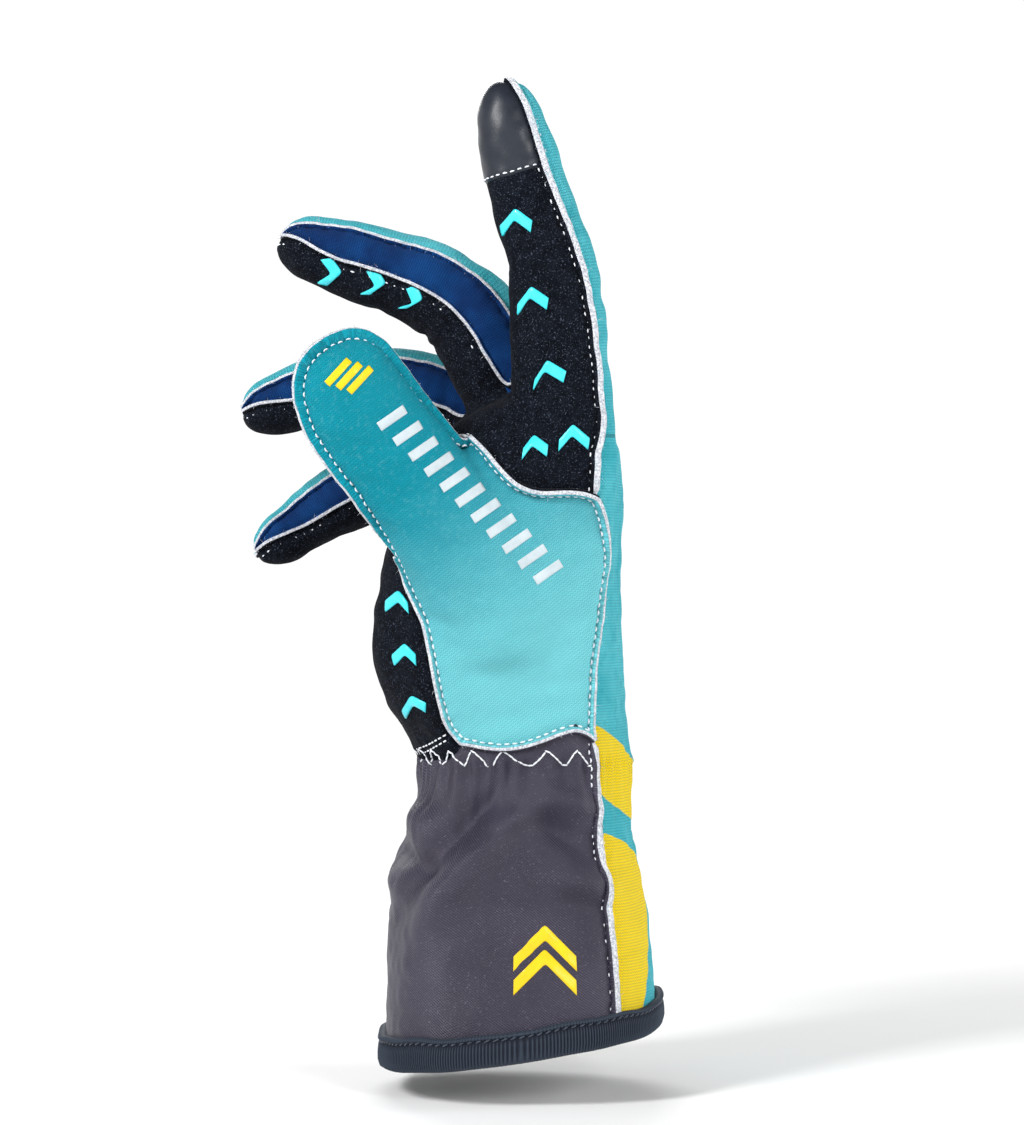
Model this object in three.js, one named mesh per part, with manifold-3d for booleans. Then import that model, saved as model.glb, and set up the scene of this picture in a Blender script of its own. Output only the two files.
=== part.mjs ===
import * as THREE from 'three';
import { mergeVertices } from 'three/addons/utils/BufferGeometryUtils.js';
import Module from 'manifold-3d';

// A worn right-hand racing glove with a long gauntlet. Millimetres, fingers up (+Z), palm towards -X,
// back of the hand towards +X, thumb towards -Y. The origin is the middle of the open cuff.

const wasm = await Module();
wasm.setup();

// Driving dimensions
const gauntletLength = 74; // cuff edge to wrist gather
const palmLength = 82; // wrist gather to knuckles
const cuffDepth = 73; // palm side to back side at the cuff
const cuffWidth = 84; // thumb side to little finger side at the cuff
const handDepth = 66; // heel bulge to back of the hand
const handBreadth = 84; // across the knuckles
const cuffTilt = 0.13; // rise of the cuff plane towards the back, mm per mm
const knuckleSlope = 0.15; // fall of the knuckle line towards the little finger, mm per mm
const wallThickness = 1.6;
const seamGap = 0.3; // clearance between neighbouring pieces
const indexLength = 122;
const indexThickness = 27;
const indexBreadth = 23;
const middleLength = 118;
const middleThickness = 27;
const middleBreadth = 23;
const ringLength = 112;
const ringThickness = 26;
const ringBreadth = 22;
const littleLength = 96;
const littleThickness = 23;
const littleBreadth = 20;
const thumbLength = 101;
const thumbThickness = 32;
const thumbBreadth = 38;
const bindingHeight = 6.6;
const bindingThickness = 2.2;
const patchThickness = 0.8; // conductive patch on the index tip
const seamRise = 2.4; // how far an outside seam stands proud
const seamThickness = 1.6;
const gatherDepth = 0.9; // radial depth of the small wrist gathers
const bodySides = 32;
const fingerSides = 12;
const gatherCount = 8;
const wristDrop = 2; // the gauntlet's seam above the wrist
const cornerGrid = 0.004; // corners of the cut solids lie on this fine grid
const bodyPower = 2.5; // roundness of the body's sections, 2 is an ellipse
const fingerPower = 2.3; // roundness of the fingers' sections
const tipBends = [28, 54, 76]; // rings of a rounded fingertip, degrees from its base
const sectorStep = 22.5; // degrees between the corners of a cutting sector on a finger
const sectorSides = 14; // steps across a cutting sector on the body
const sectorReach = 8; // how far the body's cutting sectors pass its wall

const axisY = new THREE.Vector3(0, 1, 0);
const radians = THREE.MathUtils.degToRad;

// Gauntlet sections: height as a share of its length, depths of cuffDepth, widths of cuffWidth,
// tilt as a share of cuffTilt, seam as degrees from the back towards the thumb side
const gauntletRows = [
  { height: 0.0, palm: 0.5, back: 0.5, thumb: 0.5, little: 0.5, tilt: 1.0, seam: 50 },
  { height: 0.2, palm: 0.492, back: 0.488, thumb: 0.49, little: 0.49, tilt: 0.8, seam: 50 },
  { height: 0.42, palm: 0.49, back: 0.468, thumb: 0.47, little: 0.475, tilt: 0.5, seam: 50 },
  { height: 0.57, palm: 0.468, back: 0.44, thumb: 0.45, little: 0.45, tilt: 0.3, seam: 50 },
  { height: 0.75, palm: 0.44, back: 0.418, thumb: 0.42, little: 0.42, tilt: 0.1, seam: 51 },
  { height: 0.88, palm: 0.4, back: 0.405, thumb: 0.39, little: 0.395, tilt: 0.0, seam: 52 },
  { height: 1.0, palm: 0.358, back: 0.402, thumb: 0.372, little: 0.375, tilt: 0.0, seam: 53 },
];

// Hand sections: height as a share of palmLength, depths of handDepth, widths of handBreadth,
// slope as a share of knuckleSlope
const handRows = [
  { height: 0.09, palm: 0.45, back: 0.435, thumb: 0.385, little: 0.385, slope: 0, seam: 52 },
  { height: 0.19, palm: 0.54, back: 0.425, thumb: 0.415, little: 0.41, slope: 0, seam: 48 },
  { height: 0.33, palm: 0.58, back: 0.415, thumb: 0.445, little: 0.445, slope: 0, seam: 46 },
  { height: 0.52, palm: 0.59, back: 0.405, thumb: 0.475, little: 0.475, slope: 0.2, seam: 46 },
  { height: 0.68, palm: 0.58, back: 0.41, thumb: 0.49, little: 0.49, slope: 0.5, seam: 47 },
  { height: 0.8, palm: 0.52, back: 0.418, thumb: 0.495, little: 0.495, slope: 0.8, seam: 50 },
  { height: 0.92, palm: 0.42, back: 0.418, thumb: 0.49, little: 0.49, slope: 1.0, seam: 52 },
  { height: 1.02, palm: 0.34, back: 0.4, thumb: 0.47, little: 0.465, slope: 1.0, seam: 54 },
  { height: 1.1, palm: 0.26, back: 0.35, thumb: 0.42, little: 0.41, slope: 1.0, seam: 56 },
  { height: 1.15, palm: 0.12, back: 0.22, thumb: 0.3, little: 0.3, slope: 1.0, seam: 58 },
];

// Dents and bulges of the hand and gauntlet: angle from the back round by the little finger side,
// height as a share of the whole body, reach in mm (inwards below zero), spreads of angle and height
const bodyHeight = gauntletLength + palmLength;
const dents = [
  { angle: 172, height: 0.74, reach: -7, angleSpread: 24, heightSpread: 0.11 },
  { angle: 218, height: 0.7, reach: 2.5, angleSpread: 28, heightSpread: 0.1 },
  { angle: 140, height: 0.66, reach: 3, angleSpread: 26, heightSpread: 0.13 },
  { angle: 262, height: 0.36, reach: -2.6, angleSpread: 16, heightSpread: 0.05 },
  { angle: 240, height: 0.28, reach: 1.8, angleSpread: 22, heightSpread: 0.06 },
  { angle: 285, height: 0.2, reach: -2.0, angleSpread: 14, heightSpread: 0.08 },
  { angle: 190, height: 0.41, reach: -2.2, angleSpread: 30, heightSpread: 0.03 },
  { angle: 100, height: 0.3, reach: -2.2, angleSpread: 22, heightSpread: 0.07 },
  { angle: 30, height: 0.34, reach: -1.4, angleSpread: 26, heightSpread: 0.06 },
];

// The middle of a finger's root: shares of handDepth, handBreadth and, above the wrist, palmLength
function rootAt(depth, breadth, height) {
  return [depth * handDepth, breadth * handBreadth, gauntletLength + height * palmLength];
}

// Finger sections: part is the length of the stretch that ends there as a share of the finger,
// lean is its direction in degrees from +Z towards the palm, thick and wide are shares
const fingers = {
  index: {
    root: rootAt(0.21, -0.32, 0.56),
    length: indexLength, thickness: indexThickness, breadth: indexBreadth,
    drift: -0.028, tip: 0.5,
    rows: [
      { part: 0, lean: 3, thick: 0.6, wide: 0.6 },
      { part: 0.286, lean: 3.3, thick: 1.0, wide: 1.0 },
      { part: 0.23, lean: 3.5, thick: 0.96, wide: 0.97 },
      { part: 0.19, lean: 5.5, thick: 0.875, wide: 0.94 },
      { part: 0.138, lean: 18, thick: 0.805, wide: 0.89 },
      { part: 0.11, lean: 15, thick: 0.73, wide: 0.83 },
      { part: 0.046, lean: 13, thick: 0.67, wide: 0.77 },
    ],
  },
  middle: {
    root: rootAt(0.21, -0.095, 0.66),
    length: middleLength, thickness: middleThickness, breadth: middleBreadth,
    drift: -0.01, tip: 0.4,
    rows: [
      { part: 0, lean: 4, thick: 0.6, wide: 0.7 },
      { part: 0.2, lean: 5, thick: 1.0, wide: 1.0 },
      { part: 0.24, lean: 32, thick: 0.97, wide: 0.98 },
      { part: 0.186, lean: 30, thick: 0.95, wide: 0.96 },
      { part: 0.075, lean: 52, thick: 0.92, wide: 0.94 },
      { part: 0.103, lean: 66, thick: 0.84, wide: 0.91 },
      { part: 0.125, lean: 74, thick: 0.76, wide: 0.87 },
      { part: 0.071, lean: 76, thick: 0.69, wide: 0.81 },
    ],
  },
  ring: {
    root: rootAt(0.21, 0.143, 0.585),
    length: ringLength, thickness: ringThickness, breadth: ringBreadth,
    drift: 0.01, tip: 0.46,
    rows: [
      { part: 0, lean: 2, thick: 0.6, wide: 0.7 },
      { part: 0.214, lean: 3, thick: 1.0, wide: 1.0 },
      { part: 0.208, lean: 46, thick: 0.98, wide: 0.98 },
      { part: 0.164, lean: 60, thick: 0.93, wide: 0.95 },
      { part: 0.114, lean: 70, thick: 0.85, wide: 0.93 },
      { part: 0.125, lean: 86, thick: 0.79, wide: 0.91 },
      { part: 0.11, lean: 102, thick: 0.71, wide: 0.85 },
      { part: 0.065, lean: 111, thick: 0.64, wide: 0.78 },
    ],
  },
  little: {
    root: rootAt(0.106, 0.357, 0.463),
    length: littleLength, thickness: littleThickness, breadth: littleBreadth,
    drift: 0.03, tip: 0.54,
    rows: [
      { part: 0, lean: 9, thick: 0.6, wide: 0.6 },
      { part: 0.233, lean: 11, thick: 1.0, wide: 1.0 },
      { part: 0.225, lean: 56, thick: 0.98, wide: 0.98 },
      { part: 0.173, lean: 74, thick: 0.92, wide: 0.94 },
      { part: 0.116, lean: 96, thick: 0.87, wide: 0.91 },
      { part: 0.119, lean: 118, thick: 0.82, wide: 0.87 },
      { part: 0.099, lean: 123, thick: 0.72, wide: 0.79 },
      { part: 0.04, lean: 127, thick: 0.64, wide: 0.73 },
    ],
  },
  thumb: {
    root: rootAt(0.091, -0.262, 0.268),
    length: thumbLength, thickness: thumbThickness, breadth: thumbBreadth,
    drift: -0.3, tip: 0.36, back: [0.3, -1, 0.1],
    rows: [
      { part: 0, lean: 27, thick: 0.5, wide: 0.5 },
      { part: 0.166, lean: 27, thick: 0.97, wide: 0.98 },
      { part: 0.258, lean: 32, thick: 0.84, wide: 0.87 },
      { part: 0.158, lean: 36, thick: 0.77, wide: 0.79 },
      { part: 0.13, lean: 40, thick: 0.74, wide: 0.755 },
      { part: 0.102, lean: 40, thick: 0.71, wide: 0.75 },
      { part: 0.096, lean: 34, thick: 0.68, wide: 0.735 },
      { part: 0.052, lean: 22, thick: 0.6, wide: 0.68 },
    ],
  },
};

// Lofting

function solidFrom(points, faces) {
  const geometry = new THREE.BufferGeometry().setFromPoints(points);
  const mesh = new wasm.Mesh({
    numProp: 3,
    vertProperties: new Float32Array(geometry.attributes.position.array),
    triVerts: new Uint32Array(faces),
  });
  mesh.merge();
  return new wasm.Manifold(mesh);
}

// A closed solid through rings of equal count; rings turn anticlockwise about the way they travel.
// The end faces fan out from the first point of the ring, or from its middle.
function loft(rings, fanFromFirst = false) {
  const count = rings[0].length;
  const points = rings.flat();
  const faces = [];
  for (let row = 0; row < rings.length - 1; row++) {
    for (let side = 0; side < count; side++) {
      const a = row * count + side;
      const b = row * count + ((side + 1) % count);
      faces.push(a, b, b + count, a, b + count, a + count);
    }
  }
  const last = (rings.length - 1) * count;
  if (fanFromFirst) {
    for (let side = 1; side < count - 1; side++) {
      faces.push(0, side + 1, side);
      faces.push(last, last + side, last + side + 1);
    }
    return solidFrom(points, faces);
  }
  const foot = points.length;
  points.push(middleOf(rings[0]));
  const head = points.length;
  points.push(middleOf(rings[rings.length - 1]));
  for (let side = 0; side < count; side++) {
    const next = (side + 1) % count;
    faces.push(foot, next, side);
    faces.push(head, last + side, last + next);
  }
  return solidFrom(points, faces);
}

function middleOf(ring) {
  const sum = new THREE.Vector3();
  ring.forEach((point) => sum.add(point));
  return sum.divideScalar(ring.length);
}

function roundedCos(angle, power) {
  const value = Math.cos(angle);
  return Math.sign(value) * Math.abs(value) ** (2 / power);
}

function roundedSin(angle, power) {
  return roundedCos(angle - Math.PI / 2, power);
}

// Hand and gauntlet body

const bodyRows = [
  ...gauntletRows.map((row) => ({
    z: row.height * gauntletLength,
    palm: row.palm * cuffDepth,
    back: row.back * cuffDepth,
    thumb: row.thumb * cuffWidth,
    little: row.little * cuffWidth,
    tilt: row.tilt * cuffTilt,
    slope: 0,
    seam: row.seam,
  })),
  ...handRows.map((row) => ({
    z: gauntletLength + row.height * palmLength,
    palm: row.palm * handDepth,
    back: row.back * handDepth,
    thumb: row.thumb * handBreadth,
    little: row.little * handBreadth,
    tilt: 0,
    slope: row.slope * knuckleSlope,
    seam: row.seam,
  })),
];

// The body's section at a height, between the rows of the table
function bodyRowAt(z) {
  const clamped = THREE.MathUtils.clamp(z, bodyRows[0].z, bodyRows[bodyRows.length - 1].z);
  const upper = Math.max(1, bodyRows.findIndex((row) => row.z >= clamped));
  const low = bodyRows[upper - 1];
  const high = bodyRows[upper];
  const share = (clamped - low.z) / (high.z - low.z);
  const row = {};
  for (const key of Object.keys(low)) row[key] = THREE.MathUtils.lerp(low[key], high[key], share);
  row.z = z;
  return row;
}

// How far a dent or gather moves the wall at an angle and height
function bodyRelief(angle, z) {
  let reach = 0;
  for (const dent of dents) {
    const turn = (((angle - dent.angle + 540) % 360) - 180) / dent.angleSpread;
    const rise = (z / bodyHeight - dent.height) / dent.heightSpread;
    reach += dent.reach * Math.exp(-turn * turn - rise * rise);
  }
  const gather = Math.exp(-(((z - gauntletLength) / (0.1 * gauntletLength)) ** 2));
  return reach + gatherDepth * gather * Math.cos(radians(angle * gatherCount));
}

function bodyPoint(row, angle, grow) {
  const turn = radians(angle);
  const middleX = (row.back - row.palm) / 2;
  const middleY = (row.little - row.thumb) / 2;
  const halfX = (row.back + row.palm) / 2 + grow;
  const halfY = (row.little + row.thumb) / 2 + grow;
  const relief = bodyRelief(angle, row.z);
  const x = middleX + roundedCos(turn, bodyPower) * halfX + Math.cos(turn) * relief;
  const y = middleY + roundedSin(turn, bodyPower) * halfY + Math.sin(turn) * relief;
  return new THREE.Vector3(x, y, row.z + row.tilt * x - row.slope * y);
}

// Heights of the body's rings: every row of the table and the middles of the long steps
const bodyLevels = [];
bodyRows.forEach((row, number) => {
  bodyLevels.push(row.z);
  const next = bodyRows[number + 1];
  if (next && next.z - row.z > 0.2 * gauntletLength) bodyLevels.push((row.z + next.z) / 2);
});

function bodyTube(grow, below = 0) {
  const levels = bodyLevels.slice();
  if (below) levels.unshift(-below);
  const rings = levels.map((z) => bodyRing(z, grow));
  const top = rings[rings.length - 1];
  const crown = top.map((point) => point.clone().lerp(middleOf(top), 0.5));
  crown.forEach((point) => { point.z += grow + wallThickness; });
  rings.push(crown);
  return loft(rings);
}

function bodyRing(z, grow) {
  const row = bodyRowAt(z);
  return Array.from({ length: bodySides }, (_, side) => bodyPoint(row, (side * 360) / bodySides, grow));
}

// Fingers

// Stations along a finger: centre, directions and half sizes, ending in a rounded tip
function fingerStations(finger, grow) {
  const centre = new THREE.Vector3(...finger.root);
  const stations = [];
  const heading = (lean) => new THREE.Vector3(
    -Math.sin(radians(lean)), finger.drift, Math.cos(radians(lean))).normalize();
  finger.rows.forEach((row, number) => {
    const way = heading(row.lean);
    centre.addScaledVector(way, row.part * finger.length);
    const next = finger.rows[number + 1];
    const ahead = next && number > 0 ? heading((row.lean + next.lean) / 2) : way;
    stations.push({
      centre: centre.clone(),
      ahead,
      thick: (row.thick * finger.thickness) / 2 + grow,
      wide: (row.wide * finger.breadth) / 2 + grow,
    });
  });
  const base = stations[stations.length - 1];
  const tipLength = finger.tip * finger.thickness + grow;
  for (const bend of tipBends) {
    stations.push({
      centre: base.centre.clone().addScaledVector(base.ahead, tipLength * Math.sin(radians(bend))),
      ahead: base.ahead,
      thick: base.thick * Math.cos(radians(bend)),
      wide: base.wide * Math.cos(radians(bend)),
    });
  }
  stations.forEach((station) => {
    const back = finger.back
      ? new THREE.Vector3(...finger.back).addScaledVector(
        station.ahead, -new THREE.Vector3(...finger.back).dot(station.ahead))
      : new THREE.Vector3().crossVectors(axisY, station.ahead);
    station.back = back.normalize();
    station.side = new THREE.Vector3().crossVectors(station.ahead, station.back);
  });
  return stations;
}

function fingerPoint(station, angle) {
  const turn = radians(angle);
  return station.centre.clone()
    .addScaledVector(station.back, station.thick * roundedCos(turn, fingerPower))
    .addScaledVector(station.side, station.wide * roundedSin(turn, fingerPower));
}

function fingerTube(finger, grow, firstStation = 0, clearance = 0) {
  const stations = fingerStations(finger, grow).slice(firstStation);
  stations[0].centre.addScaledVector(stations[0].ahead, -clearance);
  return loft(stations.map((station) => Array.from(
    { length: fingerSides }, (_, side) => fingerPoint(station, (side * 360) / fingerSides))));
}

// A sector of a finger between two angles, reaching past its wall; the edge nearest the palm moves
// by the taper towards the tip
function fingerSector(finger, from, to, grow, firstStation = 0, taper = 0) {
  const stations = fingerStations(finger, wallThickness + 2 * grow).slice(firstStation);
  stations[0].centre.addScaledVector(stations[0].ahead, -grow);
  const steps = Math.ceil((to - from) / sectorStep);
  const tipRings = tipBends.length;
  const rings = stations.map((station, number) => {
    const inTip = Math.max(0, number - (stations.length - tipRings - 1)) / tipRings;
    const extra = THREE.MathUtils.radToDeg(grow / station.wide);
    const narrow = inTip * taper;
    const start = from - extra + (from + to < 0 ? narrow : 0);
    const end = to + extra - (from + to > 0 ? narrow : 0);
    const ring = [station.centre.clone()];
    for (let step = 0; step <= steps; step++) {
      ring.push(fingerPoint(station, THREE.MathUtils.lerp(start, end, step / steps)));
    }
    return ring;
  });
  return loft(rings, true);
}

// A sector of the body between two angles given for each height
function bodySector(fromAt, toAt, grow, low, high) {
  const levels = [low - grow, ...bodyLevels.filter((z) => z > low + 1 && z < high - 1), high + grow];
  const rings = levels.map((z) => {
    const row = bodyRowAt(z);
    const extra = THREE.MathUtils.radToDeg(grow / row.back);
    const from = fromAt(row) - extra;
    const to = toAt(row) + extra;
    const ring = [new THREE.Vector3((row.back - row.palm) / 2, (row.little - row.thumb) / 2, z)];
    for (let step = 0; step <= sectorSides; step++) {
      const angle = THREE.MathUtils.lerp(from, to, step / sectorSides);
      ring.push(bodyPoint(row, angle, sectorReach + 2 * grow));
    }
    return ring;
  });
  return loft(rings, true);
}

const all = (solids) => solids.reduce((joined, solid) => joined.add(solid));

function gloveForm(grow, below = 0) {
  return all([bodyTube(grow, below), ...Object.values(fingers).map((finger) => fingerTube(finger, grow))]);
}

const outerForm = gloveForm(0);
const innerForm = gloveForm(-wallThickness, 2 * wallThickness);
const shell = outerForm.subtract(innerForm);

// Panel regions; grow widens a region to leave the gap for its neighbour

const backHalfAngle = 50;
const sideHalfAngle = 98;
const ulnarSeamAngle = 100;
const indexSeamAngle = 60;
const littleSeamAngle = 90;
const thumbSeamAngle = 88;
const sideTaper = 26; // degrees by which a side wall narrows at its fingertip
const patchFrom = 70;
const patchTo = 285;

function fourchetteRegion(near, far, grow) {
  return all([
    fingerSector(near, backHalfAngle, sideHalfAngle, grow, 1, sideTaper),
    fingerSector(far, -sideHalfAngle, -backHalfAngle, grow, 1, sideTaper),
  ]);
}

function backRegion(grow) {
  const top = bodyRows[bodyRows.length - 1].z + 0.15 * palmLength;
  return all([
    bodySector((row) => -row.seam, () => ulnarSeamAngle, grow, -2 * bindingHeight, top),
    fingerSector(fingers.index, -indexSeamAngle, backHalfAngle, grow),
    fingerSector(fingers.middle, -backHalfAngle, backHalfAngle, grow),
    fingerSector(fingers.ring, -backHalfAngle, backHalfAngle, grow),
    fingerSector(fingers.little, -backHalfAngle, littleSeamAngle, grow),
  ]);
}

// Outline of the thumb panel seen from the thumb side: x as a share of cuffDepth, z as a share of the
// body's height, near tells the stretch on the hand from the stretch on the thumb itself
const thumbOutline = [
  { x: -0.25, z: 0.525, onThumb: 0 },
  { x: -0.03, z: 0.505, onThumb: 0 },
  { x: 0.12, z: 0.525, onThumb: 0 },
  { x: 0.246, z: 0.56, onThumb: 0 },
  { x: 0.265, z: 0.64, onThumb: 0 },
  { x: 0.295, z: 0.775, onThumb: 0 },
  { x: 0.305, z: 0.86, onThumb: 0 },
  { x: 0.242, z: 0.94, onThumb: 0 },
  { x: 0.09, z: 0.935, onThumb: 0.1 },
  { x: -0.047, z: 0.93, onThumb: 0.4 },
  { x: -0.13, z: 1.03, onThumb: 1 },
  { x: -0.3, z: 1.16, onThumb: 1 },
  { x: -0.48, z: 1.26, onThumb: 1 },
  { x: -0.72, z: 1.3, onThumb: 1 },
  { x: -0.95, z: 1.2, onThumb: 1 },
  { x: -0.9, z: 1.04, onThumb: 1 },
  { x: -0.66, z: 0.93, onThumb: 1 },
  { x: -0.5, z: 0.85, onThumb: 0.8 },
  { x: -0.39, z: 0.77, onThumb: 0.4 },
  { x: -0.34, z: 0.7, onThumb: 0.1 },
  { x: -0.3, z: 0.6, onThumb: 0 },
];

const thumbRegionNear = -0.9 * cuffWidth;
const thumbRegionFar = -0.1 * cuffWidth;

function thumbRegion(grow) {
  const corners = thumbOutline.map((row) => (
    new THREE.Vector3(row.x * cuffDepth, row.onThumb, row.z * bodyHeight)));
  const thumbStations = fingerStations(fingers.thumb, 0);
  const rings = [0, 1].map((far) => corners.map((corner, number) => {
    const before = corners[(number + corners.length - 1) % corners.length];
    const after = corners[(number + 1) % corners.length];
    const along = new THREE.Vector3(after.x - before.x, 0, after.z - before.z).normalize();
    const point = new THREE.Vector3(corner.x + along.z * grow, thumbRegionNear, corner.z - along.x * grow);
    if (far) {
      const closest = thumbStations.reduce((best, station) => (
        Math.hypot(station.centre.x - corner.x, station.centre.z - corner.z)
          < Math.hypot(best.centre.x - corner.x, best.centre.z - corner.z) ? station : best));
      const aside = new THREE.Vector2(corner.x - closest.centre.x, corner.z - closest.centre.z);
      const across = aside.dot(new THREE.Vector2(closest.back.x, closest.back.z));
      const onThumb = closest.centre.y - across / closest.back.y;
      point.y = THREE.MathUtils.lerp(thumbRegionFar, onThumb, corner.y) + 6 * grow;
    }
    return point;
  }));
  const flat = corners.map((corner) => new THREE.Vector2(corner.x, corner.z));
  return prism(rings[0], rings[1], THREE.ShapeUtils.triangulateShape(flat, []));
}

// A solid between two outlines of equal count, with the triangles of their end faces
function prism(nearRing, farRing, triangles) {
  const count = nearRing.length;
  const faces = [];
  for (const [a, b, c] of triangles) {
    faces.push(a, b, c);
    faces.push(count + c, count + b, count + a);
  }
  for (let side = 0; side < count; side++) {
    const next = (side + 1) % count;
    faces.push(side, side + count, next + count, side, next + count, next);
  }
  return solidFrom([...nearRing, ...farRing], faces);
}

function gauntletRegion(grow) {
  const corner = (side, z) => {
    const turn = (2 * Math.PI * side) / bodySides;
    return new THREE.Vector3(cuffDepth * Math.cos(turn), cuffWidth * Math.sin(turn), z);
  };
  const rings = [-2 * bindingHeight, gauntletLength + wristDrop + grow].map((z) => (
    Array.from({ length: bodySides }, (_, side) => corner(side, z))));
  return loft(rings);
}

// The main piece of a cut solid, without crumbs, its nearly equal corners made one
function largest(solid) {
  const mainOf = (whole) => whole.decompose().reduce(
    (best, piece) => (piece.volume() > best.volume() ? piece : best));
  const { vertProperties, triVerts } = mainOf(solid).getMesh();
  const settled = vertProperties.map((value) => Math.round(value / cornerGrid) * cornerGrid);
  const geometry = new THREE.BufferGeometry();
  geometry.setAttribute('position', new THREE.BufferAttribute(settled, 3));
  geometry.setIndex(new THREE.BufferAttribute(triVerts, 1));
  const merged = mergeVertices(geometry.toNonIndexed(), cornerGrid / 10);
  return mainOf(new wasm.Manifold(new wasm.Mesh({
    numProp: 3,
    vertProperties: merged.attributes.position.array,
    triVerts: new Uint32Array(merged.index.array),
  })));
}

const fourchettePairs = {
  fourchette_index_middle: [fingers.index, fingers.middle],
  fourchette_middle_ring: [fingers.middle, fingers.ring],
  fourchette_ring_little: [fingers.ring, fingers.little],
};
const widerFourchettes = all(
  Object.values(fourchettePairs).map(([near, far]) => fourchetteRegion(near, far, seamGap)));

const solids = {};
const notThumb = shell.subtract(thumbRegion(seamGap));
for (const [name, [near, far]] of Object.entries(fourchettePairs)) {
  solids[name] = largest(notThumb.intersect(fourchetteRegion(near, far, 0)));
}
solids.thumb_panel = largest(shell.intersect(thumbRegion(0)));
const notSides = notThumb.subtract(widerFourchettes);
solids.back_panel = largest(notSides.intersect(backRegion(0)));
const notBack = notSides.subtract(backRegion(seamGap));
solids.gauntlet_panel = largest(notBack.intersect(gauntletRegion(0)));
const upper = notBack.subtract(gauntletRegion(seamGap));
solids.thumb_front = largest(upper.intersect(fingerTube(fingers.thumb, 2 * seamGap, 2)));
solids.palm_panel = largest(upper.subtract(fingerTube(fingers.thumb, 3 * seamGap, 2, seamGap)));

// Conductive patch round the palm side of the index tip
const patchLow = fingers.index.rows.length - 2;
solids.fingertip_patch = largest(
  fingerTube(fingers.index, seamGap + patchThickness, patchLow)
    .subtract(fingerTube(fingers.index, seamGap))
    .intersect(fingerSector(fingers.index, patchFrom, patchTo, 0, patchLow)));

// Ribbed tape folded over the cuff edge, inside and outside
function cuffBand(grow, low, high) {
  const levels = [low, ...bodyLevels.filter((z) => z > 0 && z < high), high];
  return loft(levels.map((z) => bodyRing(z, grow)));
}
const bandLow = -seamGap - bindingThickness;
const slot = cuffBand(seamGap, -seamGap, 3 * bindingHeight)
  .subtract(cuffBand(-wallThickness - seamGap, -bindingHeight, 4 * bindingHeight));
solids.cuff_binding = largest(
  cuffBand(seamGap + bindingThickness, bandLow, bindingHeight)
    .subtract(cuffBand(-wallThickness - seamGap - bindingThickness, -bindingHeight, 2 * bindingHeight))
    .subtract(slot));

// Outside seams: thin fins standing on the wall. pointAt gives the wall grown by a height, at a place
// along the seam and a distance to one side of it
const clearForm = gloveForm(seamGap);
function seamFin(places, pointAt) {
  const half = seamThickness / 2;
  const rings = places.map((place) => [
    pointAt(place, -half, 0), pointAt(place, -half, seamGap + seamRise),
    pointAt(place, half, seamGap + seamRise), pointAt(place, half, 0),
  ]);
  return loft(rings);
}

function fingerSeam(finger, angle, firstStation) {
  const places = fingerStations(finger, 0).map((_, number) => number).slice(firstStation, -1);
  return seamFin(places, (number, aside, grow) => {
    const station = fingerStations(finger, grow)[number];
    return fingerPoint(station, angle + THREE.MathUtils.radToDeg(aside / station.wide));
  });
}

function bodySeam(places) {
  return seamFin(places, (place, aside, grow) => {
    const row = bodyRowAt(place.z);
    return bodyPoint(row, place.angle + THREE.MathUtils.radToDeg(aside / row.thumb), grow);
  });
}

const seamLevels = bodyLevels.filter((z) => z > bindingHeight && z < gauntletLength + 0.95 * palmLength);
const seamLow = bindingHeight + 3 * seamGap;
const backSeamPlaces = [seamLow, ...seamLevels].map((z) => ({ z, angle: -bodyRowAt(z).seam }));
solids.seam_back = largest(bodySeam(backSeamPlaces).subtract(clearForm));
solids.seam_index = largest(fingerSeam(fingers.index, -indexSeamAngle, 2).subtract(clearForm).subtract(
  fingerTube(fingers.index, patchThickness + 2 * seamGap).intersect(
    fingerSector(fingers.index, patchFrom, patchTo, seamGap, patchLow))));
solids.seam_thumb_upper = largest(fingerSeam(fingers.thumb, thumbSeamAngle, 3).subtract(clearForm));
solids.seam_thumb_lower = largest(fingerSeam(fingers.thumb, -thumbSeamAngle, 3).subtract(clearForm));

const finishes = {
  back_panel: { color: 0x3fa9b3, roughness: 0.85 },
  palm_panel: { color: 0x16181f, roughness: 0.95 },
  thumb_panel: { color: 0x2596a3, roughness: 0.85 },
  thumb_front: { color: 0x1b1d24, roughness: 0.95 },
  fourchette_index_middle: { color: 0x0d3f7c, roughness: 0.85 },
  fourchette_middle_ring: { color: 0x0d3f7c, roughness: 0.85 },
  fourchette_ring_little: { color: 0x0d3f7c, roughness: 0.85 },
  gauntlet_panel: { color: 0x45424f, roughness: 0.9 },
  fingertip_patch: { color: 0x2a2e38, roughness: 0.4 },
  cuff_binding: { color: 0x1b212c, roughness: 0.8 },
  seam_back: { color: 0xc9cbd8, roughness: 0.9 },
  seam_index: { color: 0xc9cbd8, roughness: 0.9 },
  seam_thumb_upper: { color: 0x1a97a5, roughness: 0.9 },
  seam_thumb_lower: { color: 0x1a97a5, roughness: 0.9 },
};

function meshOf(name, solid) {
  const { vertProperties, triVerts } = solid.getMesh();
  const geometry = new THREE.BufferGeometry();
  geometry.setAttribute('position', new THREE.BufferAttribute(vertProperties, 3));
  geometry.setIndex(new THREE.BufferAttribute(triVerts, 1));
  geometry.computeVertexNormals();
  const mesh = new THREE.Mesh(geometry, new THREE.MeshStandardMaterial({ metalness: 0, ...finishes[name] }));
  mesh.name = name;
  return mesh;
}

const glove = new THREE.Group();
for (const [name, solid] of Object.entries(solids)) glove.add(meshOf(name, solid));

export default glove;
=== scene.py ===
import math

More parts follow.
